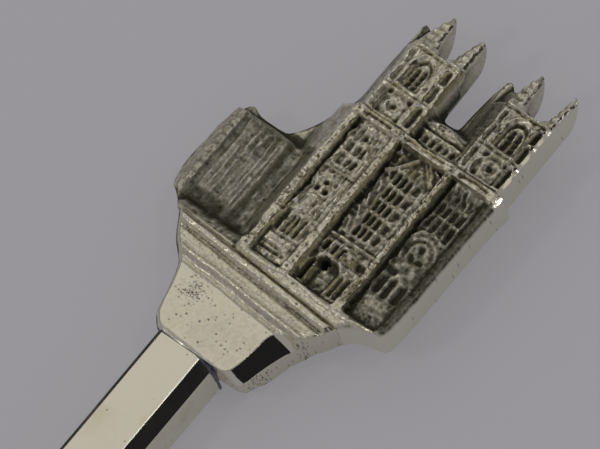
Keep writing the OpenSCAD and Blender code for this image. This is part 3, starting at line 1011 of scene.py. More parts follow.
# %% Carve the arcade and the doorway
lift(box(1.98, 3.40, 4.76, 3.62), 1.76, 0.08)
lift(box(1.95, 2.45, 4.78, 3.40), 1.58, 0.10)
for x in (2.12, 2.62, 3.1):
    add(arch(x, 2.62, x + 0.18, 3.0, 3.15), -0.26, 0.08)
upright((2.06, 2.42, 2.92, 3.4, 3.95), 2.5, 3.3, 0.13, 0.14, lean=0.02)
LUMPS = [(3.35, 2.72, 0.18), (3.65, 2.85, 0.2), (4.0, 2.65, 0.2), (3.8, 2.5, 0.18), (3.5, 2.5, 0.15)]
knobs(LUMPS, 0.20, 0.22)
knobs([(4.42, 2.75, 0.22)], -0.20, 0.16)
DOORWAY = arch(2.66, 0.5, 3.70, 1.75, 2.30)
lift(box(1.95, 0.42, 4.78, 2.45), 1.66, 0.10)
sink(DOORWAY, 1.34, 0.14)
sink(disc(2.72, 2.05, 0.24), 0.6, 0.12)
sink(box(2.6, 1.85, 3.0, 2.2), 0.8, 0.12)
knobs([(3.08, 1.95, 0.06)], 0.45, 0.05)
add(arch(2.14, 0.72, 2.42, 1.6, 1.95), -0.50, 0.10)
for x in (4.0, 4.38):
    add(arch(x - 0.1, 0.75, x + 0.12, 1.6, 2.0), -0.18, 0.12)
pointed(2.08, 0.7, 2.50, 1.55, 2.05, 0.13, 0.20)
upright((2.55, 3.85, 4.18, 4.6), 0.6, 1.95, 0.13, 0.16)

# %% [markdown]
# ## The right bay
# It is the most worn: two rows of lights, three rings round a trefoil, leaf-like lumps, and
# three tall lights over a plain block. Where the side bays meet the string course the mould
# left a fillet, so a ramp joins them.

# %% Carve the right bay
RING_X, RING_Y = 6.28, 4.85
lift(box(5.38, 0.5, 7.4, 8.95), 1.66, 0.12)
upright((5.44, 5.83, 6.24, 6.68, 7.1), 6.05, 8.3, 0.15, 0.14)
lights((5.64, 6.04, 6.46, 6.89), (6.60, 7.42), 0.22, 0.60, 0.13)
across((7.05,), 5.45, 7.2, 0.12, 0.10)
trefoil(6.25, 8.35, 0.36, 0.10, 0.10)
across((6.1,), 5.46, 7.3, 0.16, -0.12)
bead([(5.42, 5.5), (5.7, 5.95), (6.2, 6.12), (6.9, 5.95)], 0.16, 0.24)
half_turn = [math.radians(15 * k) for k in range(15)]
for radius, width, height in ((0.88, 0.16, 0.18), (0.72, 0.13, -0.16), (0.58, 0.13, 0.12)):
    ring = [(RING_X + radius * math.cos(a), RING_Y + radius * math.sin(a)) for a in half_turn]
    bead(ring, width, height)
petals = [1.8 * a for a in half_turn[::2]]
knobs([(6.30 + 0.27 * math.cos(a), 5.22 + 0.27 * math.sin(a), 0.10) for a in petals], 0.12, 0.10)
knobs([(6.30, 5.22, 0.13)], -0.22, 0.08)
trefoil(6.32, 4.72, 0.50, 0.12, 0.20)
LEAVES = [
    (5.75, 3.85, 0.16), (6.1, 4.15, 0.15), (6.55, 4.2, 0.18), (6.75, 3.9, 0.26), (6.3, 3.5, 0.18),
]
knobs(LEAVES, 0.20, 0.20)
knobs([(5.75, 3.55, 0.22)], -0.22, 0.2)
lights((5.72, 6.22, 6.86), (2.70,), 0.26, 1.05, 0.24)
upright((5.50, 5.98, 6.52), 2.1, 3.3, 0.15, 0.16)
lift(box(5.55, 1.40, 7.0, 1.95), 1.82, 0.16)
across((1.22,), 5.5, 7.0, 0.20, 0.10)
for left, right in ((-0.3, 1.45), (5.5, 7.4)):
    ramp = smooth(8.3, 8.85, v) * (v < 8.9)
    ramp *= band(u, left - 0.1, left + 0.1, right - 0.1, right + 0.1)
    church.h += 0.6 * ramp * np.clip(2.2 - church.h, 0, 1)

# %% [markdown]
# ## The rim and the nave wall
# A rim runs under the front, and a rough ledge under the nave wall. The wall is too worn to
# read: faint upright folds, a row of corner stones at its edge, and two ghosts of windows.

# %% Carve the rim, the ledge and the nave wall
lift(box(-1.1, -0.7, 8.0, 0.36), 2.05, 0.12)
bead([(-1.0, 0.22), (0.5, 0.2), (2.2, 0.34), (4.2, 0.12), (6, 0.16), (7.7, 0.36)], 0.26, 0.12)
bead([(-5.2, 0.45), (-4.0, 0.35), (-1.1, 0.2)], 0.25, 0.14)
across([1.78 + 0.58 * k for k in range(9)], -6.08, -5.6, 0.17, -0.08, lean=0.03)
for x, low, high in (
    (-5.1, 3.2, 5.4), (-4.85, 2.1, 4.6), (-4.5, 1.9, 3.9), (-4.45, 4.3, 6.1), (-4.1, 2.4, 6.0),
    (-3.85, 1.9, 4.4), (-3.6, 2.1, 5.9), (-3.32, 2.0, 3.6), (-3.3, 3.9, 5.6), (-3.08, 1.9, 6.1),
):
    bead([(x, low), (x + 0.04, (low + high) / 2), (x, high)], 0.20, 0.08)
for x, y in ((-5.0, 2.9), (-4.3, 4.1), (-3.7, 4.75), (-4.7, 4.9), (-3.4, 3.75), (-3.95, 2.1)):
    bead([(x - 0.3, y), (x + 0.3, y + 0.05)], 0.16, -0.05)
for x, y in ((-3.8, 5.75), (-4.35, 5.25)):
    add(arch(x - 0.12, y - 0.5, x + 0.12, y - 0.05, y + 0.2), -0.06, 0.10)
    pointed(x - 0.2, y - 0.6, x + 0.2, y - 0.05, y + 0.32, 0.13, 0.10)
sink(box(-5.6, 1.0, -1.3, 1.7), 0.74, 0.7)
for x, y, length in (
    (-2.3, 4.0, 1.3), (-2.1, 2.2, 0.9), (-2.6, 1.7, 0.6), (-1.75, 2.6, 0.5), (-2.75, 3.0, 0.4),
    (-1.62, 4.4, 1.2), (-1.45, 6.0, 1.0), (-2.45, 3.0, 0.3), (-1.9, 1.5, 0.5),
):
    bead([(x, y), (x + 0.03, y + length)], 0.09, 0.06)

# %% [markdown]
# ## The towers
# Both towers carry the same carving, so one loop makes it twice: a round window, a belfry
# opening with louvres, corner shafts with stacked panels, and a parapet.

# %% Carve both towers
for left, right, mid, wide in ((-0.8, 2.0, 0.38, 0.50), (4.95, 7.64, 6.36, 0.56)):
    sink(box(mid - 0.72, 9.68, mid + 0.72, 10.95), 1.88, 0.12)
    lift(disc(mid, 10.32, 0.52), 1.94, 0.10)
    sink(disc(mid, 10.32, 0.33), 1.80, 0.12)
    knobs([(mid, 10.32, 0.11)], -0.16, 0.08)
    petals = [math.radians(60 * k + 20) for k in range(6)]
    knobs([(mid + 0.24 * math.cos(a), 10.32 + 0.24 * math.sin(a), 0.07) for a in petals], 0.08, 0.08)
    pointed(mid - 0.74, 9.75, mid + 0.74, 10.3, 10.98, 0.13, 0.12)
    corners = ((-0.6, 9.78), (0.6, 9.78), (-0.58, 10.85), (0.58, 10.85))
    knobs([(mid + dx, y, 0.12) for dx, y in corners], -0.12, 0.1)
    across((11.05,), left, right, 0.16, 0.10)
    across((11.22,), left, right, 0.10, -0.10)
    pointed(mid - wide - 0.18, 11.3, mid + wide + 0.18, 12.5, 13.4, 0.13, 0.12)
    add(arch(mid - wide, 11.38, mid + wide, 12.45, 13.1), -0.26, 0.12)
    pointed(mid - wide + 0.14, 11.4, mid + wide - 0.14, 12.3, 12.9, 0.12, 0.14)
    for x in (mid - 0.22, mid + 0.2):
        add(arch(x - 0.11, 11.55, x + 0.11, 12.4, 12.65), -0.20, 0.08)
        across([11.75 + 0.33 * k for k in range(3)], x - 0.14, x + 0.14, 0.11, 0.12, lean=0.09)
    upright((mid,), 11.4, 12.75, 0.11, 0.12)
    across((11.36,), mid - wide, mid + wide, 0.14, 0.12, lean=0.04)
    for x, half, deep in ((left + 0.22, 0.09, 0.14), (right - 0.34, 0.12, 0.30)):
        for low, high in ((9.75, 10.9), (11.35, 12.25), (12.5, 13.25)):
            add(arch(x - half, low, x + half, high - 0.2, high), -deep, 0.09)
    upright((left + 0.42, right - 0.58, right - 0.76), 9.6, 13.4, 0.11, 0.10)
    for x, y in ((left + 0.3, 12.35), (right - 0.35, 12.35), (right - 0.35, 11.1)):
        bead([(x - 0.22, y), (x + 0.25, y + 0.05)], 0.13, 0.08)
    across((13.45,), left - 0.1, right, 0.12, -0.12)
    across((13.60,), left - 0.1, right, 0.16, 0.10, lean=0.02)

# %% [markdown]
# ## The gable
# Between the towers a small arcade runs under two mouldings, and a low gable with a trefoil
# stands over them.

# %% Carve the arcade and the gable
for k in range(7):
    x = 2.1 + 0.41 * k
    add(arch(x, 9.80, x + 0.18, 10.0, 10.15), -0.16, 0.08)
    bead([(x - 0.08, 9.72), (x + 0.02, 10.2)], 0.13, 0.10)
for y, height in ((10.36, 0.14), (10.50, -0.10), (10.62, 0.10)):
    bead([(2.0, y), (4.4, y - 0.03)], 0.11, height)
bead([(2.0, 10.55), (2.9, 11.22), (3.7, 10.85), (4.4, 10.6)], 0.14, 0.16)
knobs([(2.9, 10.9, 0.26)], 0.12, 0.12)
trefoil(2.9, 10.9, 0.22, 0.09, 0.26)


# %% [markdown]
# ## The pinnacles
# Each tower ends in two tall teeth. The roof behind them is cut low first, and each tooth is
# then raised as a ridge between two slanting sides, with crockets up its left one.

# %% Cut the roofs and raise the pinnacles
PARAPET = 13.66


def pinnacle(left_foot, right_foot, left_tip, right_tip, tip, z, lean):
    """A tapering tooth whose left side falls away to the back, with crockets up its edge."""
    height = tip - PARAPET
    share = np.clip((v - PARAPET) / height, 0, 1)
    left, right = mix(left_foot, left_tip, share), mix(right_foot, right_tip, share)
    ridge = left + 0.62 * (right - left)
    face = z - 0.30 * share - 0.30 * np.abs(u - ridge) - lean * np.clip(left - u, 0, None)
    inside = (v > PARAPET) & (u < right + 0.12)
    church.h = np.where(inside, np.maximum(church.h, face), church.h)
    for part, size in ((0.08, 0.17), (0.33, 0.13), (0.55, 0.15), (0.80, 0.11)):
        y = PARAPET + height * part
        x, far = mix(left_foot, left_tip, part), mix(right_foot, right_tip, part)
        add(disc(x + 0.05, y, size), 0.14, 0.16)
        bead([(x, y + 0.2), (0.35 * x + 0.65 * far, y + 0.27)], 0.13, -0.08)
    bead([(right_foot - 0.05, PARAPET), (right_tip - 0.04, tip - 0.2)], 0.12, 0.08)


for left, right in ((-3.0, 2.2), (2.9, 7.9)):
    roof = (v > PARAPET + 0.02) & (u > left) & (u < right)
    church.h = np.where(roof, np.minimum(church.h, 0.45), church.h)
pinnacle(-0.80, 0.30, -0.42, 0.10, 15.6, 2.05, 1.3)
pinnacle(1.00, 2.2, 1.42, 2.1, 15.45, 2.08, 0.8)
pinnacle(4.90, 5.75, 5.05, 5.62, 15.6, 2.05, 1.0)
pinnacle(6.98, 7.8, 7.18, 7.75, 15.6, 2.05, 0.5)

# %% [markdown]
# ## Softening and roughening
# The mould blurs every edge a little, and wear blurs the right bay most. The skin is then made
# uneven again, because cast silver shrinks as it sets. Masks say where: each is 1 in its own
# area and 0 elsewhere. Random draws come from the sheet's own seeded generator, so each run
# gives the same casting.

# %% Soften and roughen the church
church_near = outline_distance(church, CHURCH_OUTLINE, 0.6)
edge_width = 0.28 - 0.12 * (v > PARAPET - 0.06)
right_edge = smooth(-edge_width, 0.1 - edge_width, church_near) * smooth(8.6, 9.0, v) * (u > 7.2)
calm = 1 - right_edge
church.soften(0.040)
church.soften(0.16, right_edge)
wall_foot = smooth(-1.2, -1.5, u) * band(v, 0.35, 0.6, 1.5, 1.9)
church.soften(0.17, wall_foot)
church.h += wall_foot * 0.05 * cloud(0.3)
worn = smooth(5.2, 5.6, u) * smooth(6.6, 5.6, v) + smooth(7.3, 7.45, u) * smooth(9.0, 8.7, v)
worn += 0.35 * band(u, 2.1, 2.3, 4.7, 4.8) * band(v, 3.6, 4.0, 8.0, 8.2)
worn = np.clip(worn, 0, 1) * smooth(0.2, 0.6, v)
church.soften(0.085, worn)
carved = smooth(0.9, 1.4, church.h)
church.h += calm * (0.014 * cloud(0.5) + carved * (0.020 * cloud(0.2) + 0.016 * cloud(0.11)))
slots = 0 * u
for left, low_end in ((-0.62, 4.5), (1.94, 4.2), (5.25, 0.6)):
    beside = band(u, left - 0.14, left - 0.04, left + 0.18, left + 0.28)
    slots += beside * band(v, low_end - 0.2, low_end + 0.2, 8.9, 9.0)
church.h += slots * (0.06 + 0.13 * cloud(0.2, 0.45))
in_bays = (church.h < 2.0) & (u > -0.5) & (u < 7.3) & (v > 0.5) & (v < 8.9)
on_towers = (v > 9.6) & (v < 13.5) & (u > -0.8) & (church.h > 1.2)
ragged = (in_bays + 0.7 * on_towers) * (1 - 0.6 * worn) * calm
church.h += ragged * (0.055 * cloud(0.15, 0.4) + 0.045 * cloud(0.3, 0.15))
church.h += 0.040 * band(u, -0.4, -0.2, 1.4, 1.5) * band(v, 0.5, 0.7, 8.7, 8.9) * cloud(0.09, 0.9)
on_nave = smooth(-1.6, -2.0, u) * smooth(0.2, 0.5, v)
church.h += on_nave * (0.022 * cloud(0.12, 0.5) + 0.03 * cloud(0.3))
church.h += 0.05 * smooth(-6.0, -6.2, u) * cloud(0.35)

# %% [markdown]
# ## Pits, and the right edge
# Gas leaves small pits all over, and more on the buttresses. Along the right the edge is rubbed
# to a bevel at the slope that mirrors the edge lamp, with a bright corner on the string course.

# %% Pit the church and bevel its right edge
for _ in range(900):
    x, y = chance(-6.8, 8.0), chance(0.0, 15.5)
    church.pit(x, y, chance(0.04, 0.085), chance(0.02, 0.07))
for buttress in (-0.83, 1.68, 5.02):
    for _ in range(150):
        x, y = church.random.normal(buttress, 0.16), chance(0.3, 9.4)
        church.pit(x, y, chance(0.045, 0.08), chance(0.03, 0.12))
BEVEL = 0.46
drop = 0.13 - 0.08 * smooth(7.3, 7.5, u) * (v < 8.9)
church.h -= drop * calm * smooth(-0.16, 0.02, church_near)
church.h -= BEVEL * right_edge * np.clip(church_near + edge_width - 0.02, 0, 0.3)
corner = smooth(0.46, 0.36, np.abs(v - 9.08)) * smooth(7.80, 7.88, u)
church.h = mix(church.h, 2.22 - BEVEL * np.clip(u - 7.84, 0, 0.5), corner)
right_edge = np.maximum(right_edge, corner)
print("church heights", round(float(church.h.min()), 2), "to", round(float(church.h.max()), 2))

# %% [markdown]
# ## Where the church is dark
# Tarnish first follows the heights: hollows are dark and tops are bright. Then whole areas are
# shifted: the right bay and the doorway are made darker, and painted shade is laid in the slots
# beside the buttresses, on the right tower's left flank, down the hollow beside the front and in
# a band at the foot of the nave wall.

# %% Paint the church's tarnish and shade
church_dark = tarnish_of(church)
right_bay = smooth(5.2, 5.4, u) * band(v, 0.2, 0.6, 8.7, 8.9)
middle_bay = band(u, 2.1, 2.3, 4.6, 4.8)
in_doorway = smooth(0.05, -0.1, DOORWAY[1](u, v))
# Painted shade in the slots beside the buttresses; the right bay is darker, most at its right margin.
church_dark += 0.22 * slots + (0.34 + 0.36 * smooth(7.2, 7.4, u)) * right_bay
church_dark += 0.10 * band(v, 8.9, 9.0, 9.4, 9.5) + (0.12 + 0.26 * smooth(1.7, 1.9, v)) * in_doorway
church_dark += (v > 9.5) * (0.03 + 0.12 * (u > 4.95))
church_dark += 0.10 * middle_bay * band(v, 3.6, 3.8, 7.9, 8.1) * (church.h < 1.56)
church_dark += 0.07 * band(u, 2.0, 2.2, 4.7, 4.8) * band(v, 0.4, 0.6, 8.9, 9.0)
church_dark = np.clip(church_dark - 0.14 * middle_bay * band(v, 7.9, 8.1, 8.9, 9.0), 0, 1)
# Painted shade on the right tower's left flank.
tower_flank = band(u, 3.6, 4.0, 4.75, 4.95) * smooth(10.4, 10.8, v)
church_dark = np.clip(church_dark + 0.3 * tower_flank, 0, 1)
on_wing = smooth(-2.5, -2.9, u) * smooth(0.9, 1.2, v) * (v < 6.9)
church_dark = mix(church_dark, 0.34 + 0.50 * church_dark, on_wing)
wall_top = smooth(5.7, 6.05, v + 0.1 * cloud(0.4))
church_dark += smooth(-5.7, -5.3, u) * on_wing * (0.26 * wall_top + 0.20 * smooth(2.2, 1.6, v))
church_dark -= 0.14 * on_wing * smooth(-5.95, -6.1, u)
# Painted shade: a dark band along the foot of the nave wall, just above the ledge.
church_dark += 0.38 * smooth(-1.3, -1.8, u) * band(v, 0.25, 0.5, 1.0, 1.2)
# Painted shade down the hollow beside the front, darkest next to it, with a little painted light
# further left.
valley = band(u, -2.9, -2.6, -1.1, -0.95) * smooth(1.2, 1.6, v)
church_dark += valley * (0.15 * smooth(-1.9, -1.6, u) - 0.07 * smooth(-1.9, -2.1, u))
church_dark *= 1 - 0.9 * right_edge
rubbed = smooth(2.06, 2.16, church.h) * (v < 9.6) * band(u, -1.2, -1.0, 5.2, 5.4)
church_dark = np.clip(church_dark - 0.10 * rubbed, 0, 1)
print("mean tarnish", round(float(church_dark.mean()), 2))


# %% [markdown]
# ## Casting the church
# The side walls are mirror-bright at the right with a few pits, brown between the towers, and
# dull at the left.

# %% Cast the church
def church_wall(x, y, share):
    """Tarnish and polish of the side walls."""
    between_towers = smooth(10.2, 10.8, y) * smooth(7.2, 6.8, x)
    left = smooth(-0.9, -1.6, x)
    brown = 0.22 + 0.34 * smooth(15.4, 12.5, y) + 0.15 * smooth(0.6, 0.0, share)
    chances = 0.005 + 0.07 * np.exp(-((y - 8.4) / 0.3) ** 2)
    pits = (church.random.random(x.shape) < chances) & (x > 7.5)
    tone = between_towers * brown + 0.4 * left + 0.05 * share + 0.7 * pits
    return np.clip(tone, 0, 1), 1 - 0.75 * between_towers - 0.8 * left - 0.7 * pits


church_shine = 0.6 * right_edge
points, faces, painted = cast(
    church, CHURCH_OUTLINE, church_near, church_dark, church_shine, 5, church_wall
)
finial_church = make_piece("finial_church", points, faces, CAST_SILVER, "cast_silver", 50, **painted)

# %% [markdown]
# ## The plinth and the neck
# Under the church the casting narrows through a stack of mouldings to a neck as wide as the
# stem. The mouldings tilt a little. A broad chamfer runs down the neck's right edge.

# %% Carve the plinth and the neck
plinth = Wax(-5.3, -5.5, 6.4, 0.5, 0.037, seed=11)
slope = plinth.v + TILT * plinth.u
MOULD_Y = [-5.4, -5.25, -5.1, -2.25, -2.12, -1.98, -1.82, -1.68, -1.56, -1.46, -1.38, -1.28,
           -0.95, -0.86, -0.76, -0.68, -0.58, -0.46, -0.32, -0.22, -0.13, 0.1]
MOULD_Z = [1.70, 1.76, 1.80, 1.80, 1.78, 1.70, 1.73, 1.84, 1.98, 2.00, 1.91, 1.95,
           1.98, 1.94, 1.84, 1.86, 1.97, 2.09, 2.14, 2.10, 1.88, 1.80]
plinth.h = np.interp(slope, MOULD_Y, MOULD_Z)
plinth_near = outline_distance(plinth, PLINTH_OUTLINE, 1.2)
LEFT_Y, LEFT_X = zip(*[(y, x) for x, y in OUTLINE[:12]])
RIGHT_Y, RIGHT_X = zip(*[(y, x) for x, y in OUTLINE[:-12:-1]])
from_left = plinth.x - np.interp(plinth.y, LEFT_Y, LEFT_X)
from_right = np.interp(plinth.y, RIGHT_Y, RIGHT_X) - plinth.x
dip = 0.3 * np.clip(0.35 - from_right, 0, None) + 0.05 * plinth.cloud(0.3)
neck_part = smooth(-1.92, -2.14, plinth.y + dip)
broad = 0.70 + 0.20 * smooth(-4.4, -2.3, plinth.y) + 0.018 * plinth.cloud(0.35)
chamfer = 0.22 + (broad - 0.22) * neck_part
right_side = 1.80 + 0.30 * (1 - neck_part) - np.clip(chamfer - from_right, 0, None)
left_side = 0.85 + np.clip(from_left, 0, 1) * 2.4
plinth.h = np.minimum(plinth.h, np.where(plinth.x > 0, right_side, left_side))
plinth.soften(0.030)
print("mouldings from", min(MOULD_Z), "to", max(MOULD_Z))

# %% [markdown]
# ## The skin of the plinth
# The mouldings were turned in the master, so fine grooves follow them, deep in one place and
# lost in the next. The chamfer was filed flat after casting and stays smooth. Pits gather on
# the left of the neck.

# %% Score and pit the plinth
STRIA_WIDTH = 0.035
STRIAE = ((-0.25, 0.02), (-0.38, 0.02), (-0.66, 0.03), (-0.80, 0.03), (-1.02, 0.012),
          (-1.18, 0.015), (-1.7, 0.02))
for level, depth in STRIAE:
    away = (slope - level + 0.02 * plinth.cloud(1.5)) / STRIA_WIDTH
    plinth.h -= depth * np.clip(1 - away * away, 0, 1) * smooth(-0.6, 0.3, plinth.cloud(1.2))
on_chamfer = (plinth.x > 0) & (from_right < chamfer + 0.02) & (plinth.y < -2.02)
plinth.h += ~on_chamfer * (0.022 * plinth.cloud(1.4) + 0.006 * plinth.cloud(0.3))
plinth.h += 0.010 * plinth.cloud(0.12) * smooth(-2.2, -1.6, slope)
random = plinth.random
for _ in range(200):
    x, y = random.normal(-1.35, 0.42), random.normal(-2.85, 0.38)
    plinth.pit(x, y, random.uniform(0.03, 0.05), random.uniform(0.01, 0.04))
for _ in range(60):
    x, y = random.uniform(-2.4, 3.0), random.uniform(-5.0, -2.1)
    plinth.pit(x, y, random.uniform(0.03, 0.065), random.uniform(0.01, 0.05))
for _ in range(260):
    x, y = random.uniform(-4.6, 5.2), random.uniform(-1.5, 0.1)
    plinth.pit(x, y - TILT * x, random.uniform(0.03, 0.06), random.uniform(0.01, 0.045))
print("plinth heights", round(float(plinth.h.min()), 2), "to", round(float(plinth.h.max()), 2))

# %% [markdown]
# ## Tarnish and polish of the plinth
# Dirt stays in the fine grooves and between the mouldings, and the right end is made darker
# and browner. The neck is rubbed bright, and its chamfer shines like the stem.

# %% Paint and cast the plinth
narrow = np.clip((blur(plinth.h, 0.10 / plinth.pitch) - plinth.h) / 0.05, -0.5, 1.5)
groove = np.clip((2.0 - plinth.h) / 0.5, 0, 1) * smooth(-1.9, -1.6, slope)
brown_end = smooth(1.0, 4.5, plinth.x - 0.8 * plinth.y)
plinth_dark = 0.06 + 0.04 * plinth.cloud(0.7) + 0.28 * groove + 0.10 * brown_end
plinth_dark += (0.38 + 0.5 * smooth(-2.0, -2.3, slope)) * narrow
plinth_dark += 0.05 * smooth(-1.9, -1.5, slope)
plinth_dark = np.where(on_chamfer, 0.0, np.clip(plinth_dark, 0, 1))
neck_shine = 0.55 * smooth(-1.6, -2.2, slope) * smooth(0.5, 0.1, narrow)
plinth_shine = np.where(on_chamfer, 1.0, neck_shine)


def plinth_wall(x, y, share):
    """Side walls: bright, with two clusters of pits on the right."""
    cluster = 0.16 * np.exp(-((y + 4.3) / 0.5) ** 2) + 0.20 * np.exp(-((y + 1.95) / 0.16) ** 2) + 0.01
    pits = (random.random(x.shape) < cluster) & (x > 1.5)
    return np.clip(0.14 + 0.12 * share + 0.8 * pits, 0, 1), 0.75 - 0.7 * pits


points, faces, painted = cast(
    plinth, PLINTH_OUTLINE, plinth_near, plinth_dark, plinth_shine, 9, plinth_wall, wall_bumps=0.008
)
finial_plinth = make_piece("finial_plinth", points, faces, NECK_SILVER, "cast_silver", 40, **painted)

# %% [markdown]
# ## The back of the casting
# Behind the parting line the casting tapers in to a flat back, which the spoon rests on. It
# has no carving, so a coarser sheet is enough.

# %% Shape the back
back = Wax(-7.3, -5.6, 8.4, 15.9, 0.12, seed=3)
back_near = outline_distance(back, WHOLE_OUTLINE, 1.4)
TAPER = 0.95


def back_half(wax, outline, near):
    """The patch turned over, tapering in from the parting line to a flat back."""
    used, quads, rims = patch(wax, near)
    x, y, far = (a.ravel()[used].copy() for a in (wax.x, wax.y, -near))
    faces = quads[:, [0, 3, 2, 1]].tolist()
    for rim in rims:
        x[rim], y[rim] = nearest_on(outline, x[rim], y[rim])
        far[rim] = 0
    level = parting_level(x, y)
    fall = np.clip(far / TAPER, 0, 1)
    depth = (level + HALF_THICK) * np.minimum(1, 1.25 * fall - 0.25 * fall * fall)
    z = level - depth + 0.02 * wax.cloud(0.9).ravel()[used] * (depth > 0.2) * (fall < 1)
    for rim in rims:
        cap = tessellate_polygon([[Vector((float(x[k]), float(y[k]), 0)) for k in rim]])
        faces += [(int(rim[a]), int(rim[b]), int(rim[c])) for a, b, c in cap]
    return laid(x, y, np.maximum(z, -HALF_THICK)), faces


points, faces = back_half(back, WHOLE_OUTLINE, back_near)
dull = np.full(len(points), 0.25)
finial_back = make_piece(
    "finial_back", points, faces, CAST_SILVER, "cast_silver", 40, tarnish=dull, polish=dull
)
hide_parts("finial")
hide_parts("finial")
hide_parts("finial")

# %% [markdown]
# ## The curves of bowl and stem
# The bowl's surface is a spindle: an arc turned about an axis above the rim, with one radius
# towards the heel and another towards the tip. The stem is fitted to it, so its curve comes
# first.

# %% Bowl curve and stations
HEEL_X, BELLY_X, RIM_Z = -20.5, -41.02, 7.2
AXIS_Z = 14.45
ARCS = {"heel": 32.84, "tip": 24.82}
SHOULDER_X, FLAT_X, HIGH_X, TONGUE_X = 37.54, 32.54, -16.0, -33.5
FLAT_TOP, THROAT_Z = 3.4, 4.6
SHOULDER_HALF, THROAT_HALF, HEEL_HALF, TONGUE_HALF = 1.67, 1.30, 2.0, 0.35


def spindle(x, grow):
    """Radius of the bowl's surface round its axis above the rim."""
    arc = np.where(x > BELLY_X, ARCS["heel"], ARCS["tip"])
    return AXIS_Z - arc + np.sqrt(np.maximum((arc + grow) ** 2 - (x - BELLY_X) ** 2, 0))


def bowl_z(x, y, grow=0.0):
    """Height of the bowl's surface, or of one grown outwards by that much."""
    return AXIS_Z - np.sqrt(np.maximum(spindle(x, grow) ** 2 - y * y, 0))


def tongue_half_width(x):
    """Half the width of the tongue under the bowl."""
    return HEEL_HALF + (TONGUE_HALF - HEEL_HALF) * smooth(HEEL_X - 1, TONGUE_X, x)


print("bowl depth:", round(RIM_Z - float(bowl_z(BELLY_X, 0)), 2), "mm")

# %% [markdown]
# ## The stem
# The stem is a drawn bar with its four edges chamfered. It dips from the bowl to the table,
# and its end is hammered out into a tongue under the bowl. It is a skin of rings, each an
# octagon with slightly rounded corners, and above the tongue the ring's top follows the bowl.

# %% Rings of the stem
def stem_ring(x, corner_round=0.03):
    """One ring of the stem at x, as points in millimetres."""
    if x > HIGH_X:
        half = mix(SHOULDER_HALF, THROAT_HALF, smooth(SHOULDER_X, HIGH_X, x))
        chamfer = 0.64
    elif x > HEEL_X:
        half = mix(THROAT_HALF, HEEL_HALF, smooth(HIGH_X, HEEL_X - 1, x))
        chamfer = 0.50 + 0.14 * smooth(HEEL_X, HIGH_X, x)
    else:
        half = tongue_half_width(x)
        chamfer = 0.12 + 0.38 * smooth(TONGUE_X, HEEL_X, x)
    rise = smooth(FLAT_X, HIGH_X, x)
    top = FLAT_TOP + (RIM_Z - FLAT_TOP) * rise
    bottom = THROAT_Z * rise
    if x < HEEL_X:
        bottom = bowl_z(x, 0) - (2.6 - 2.3 * smooth(HEEL_X, TONGUE_X, x))
    chamfer = min(chamfer, 0.45 * half)
    corners = [
        (chamfer - half, bottom), (-half, bottom + chamfer), (-half, top - chamfer),
        (chamfer - half, top), (half - 0.5 * chamfer, top),
        (half - 0.12 * chamfer, top - 0.207 * chamfer), (half, top - 0.65 * chamfer),
        (half, bottom + chamfer), (half - chamfer, bottom),
    ]
    ring = []
    for k, here in enumerate(corners):
        here = np.array(here)
        for other in (corners[k - 1], corners[(k + 1) % len(corners)]):
            way = np.array(other) - here
            ring.append(here + way * min(0.3, corner_round / np.hypot(*way)))
    ring = np.array(ring)
    limit = bowl_z(x, ring[:, 0]) - 0.06
    z = np.minimum(ring[:, 1], limit) if x < HEEL_X + 1 else ring[:, 1]
    return np.stack([np.full(len(ring), x), ring[:, 0], z], 1)


stations = np.concatenate([
    np.linspace(TONGUE_X, HEEL_X - 0.3, 30), np.linspace(HEEL_X - 0.2, HIGH_X, 16),
    np.linspace(HIGH_X + 0.5, FLAT_X, 90), np.linspace(FLAT_X + 0.5, SHOULDER_X, 8),
])
points, faces = skin_rings([stem_ring(float(x)) for x in stations])
stem = make_piece("stem_bar", points, faces, STEM_SILVER, "stem_silver", 12)
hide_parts("stem")

# %% [markdown]
# ## The bowl
# The bowl is pressed from sheet: an outer and an inner skin a millimetre apart, joined by a
# rounded rim. Each skin is rings of points from the middle out to the rim.

# %% Spin the bowl
AROUND, OUTWARD = 144, 30
RIM_ROUND, SHEET = 0.22, 1.0


def rim_curve(grow, level):
    """Points round the bowl where its surface reaches a level."""
    reach = AXIS_Z - level
    turn = np.linspace(0, 2 * math.pi, AROUND, endpoint=False)
    ends = []
    for side, arc in (("heel", ARCS["heel"]), ("tip", ARCS["tip"])):
        ends.append(math.sqrt((arc + grow) ** 2 - (reach + arc - AXIS_Z) ** 2))
    run = np.where(np.cos(turn) > 0, ends[0], ends[1])
    x = BELLY_X + run * np.cos(turn) * 0.99999
    y = np.sqrt(np.maximum(spindle(x, grow) ** 2 - reach ** 2, 0)) * np.sign(np.sin(turn))
    return np.stack([x, y], 1)


rings = []
outer_rim, inner_rim = (rim_curve(grow, RIM_Z - RIM_ROUND) for grow in (0.0, -SHEET))
middle = np.array([BELLY_X, 0.0])
for share in np.linspace(0.02, 1, OUTWARD):
    place = middle + (outer_rim - middle) * share
    rings.append(np.column_stack([place, bowl_z(place[:, 0], place[:, 1])]))
for share in np.linspace(0, 1, 9)[1:-1]:
    place = outer_rim + (inner_rim - outer_rim) * share
    height = RIM_Z - RIM_ROUND + RIM_ROUND * math.sin(math.pi * share) ** 0.6
    rings.append(np.column_stack([place, np.full(AROUND, height)]))
for share in np.linspace(1, 0.02, OUTWARD):
    place = middle + (inner_rim - middle) * share
    rings.append(np.column_stack([place, bowl_z(place[:, 0], place[:, 1], -SHEET)]))
points, faces = skin_rings(rings)
bowl = make_piece("bowl_shell", points, faces, BOWL_SILVER, "polished_silver", 60)
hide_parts("bowl")

# %% [markdown]
# ## The solder
# Solder fills each joint and stands out as a thin, uneven bead. A bead is a tube swept along
# the joint, and its thickness varies along the way.

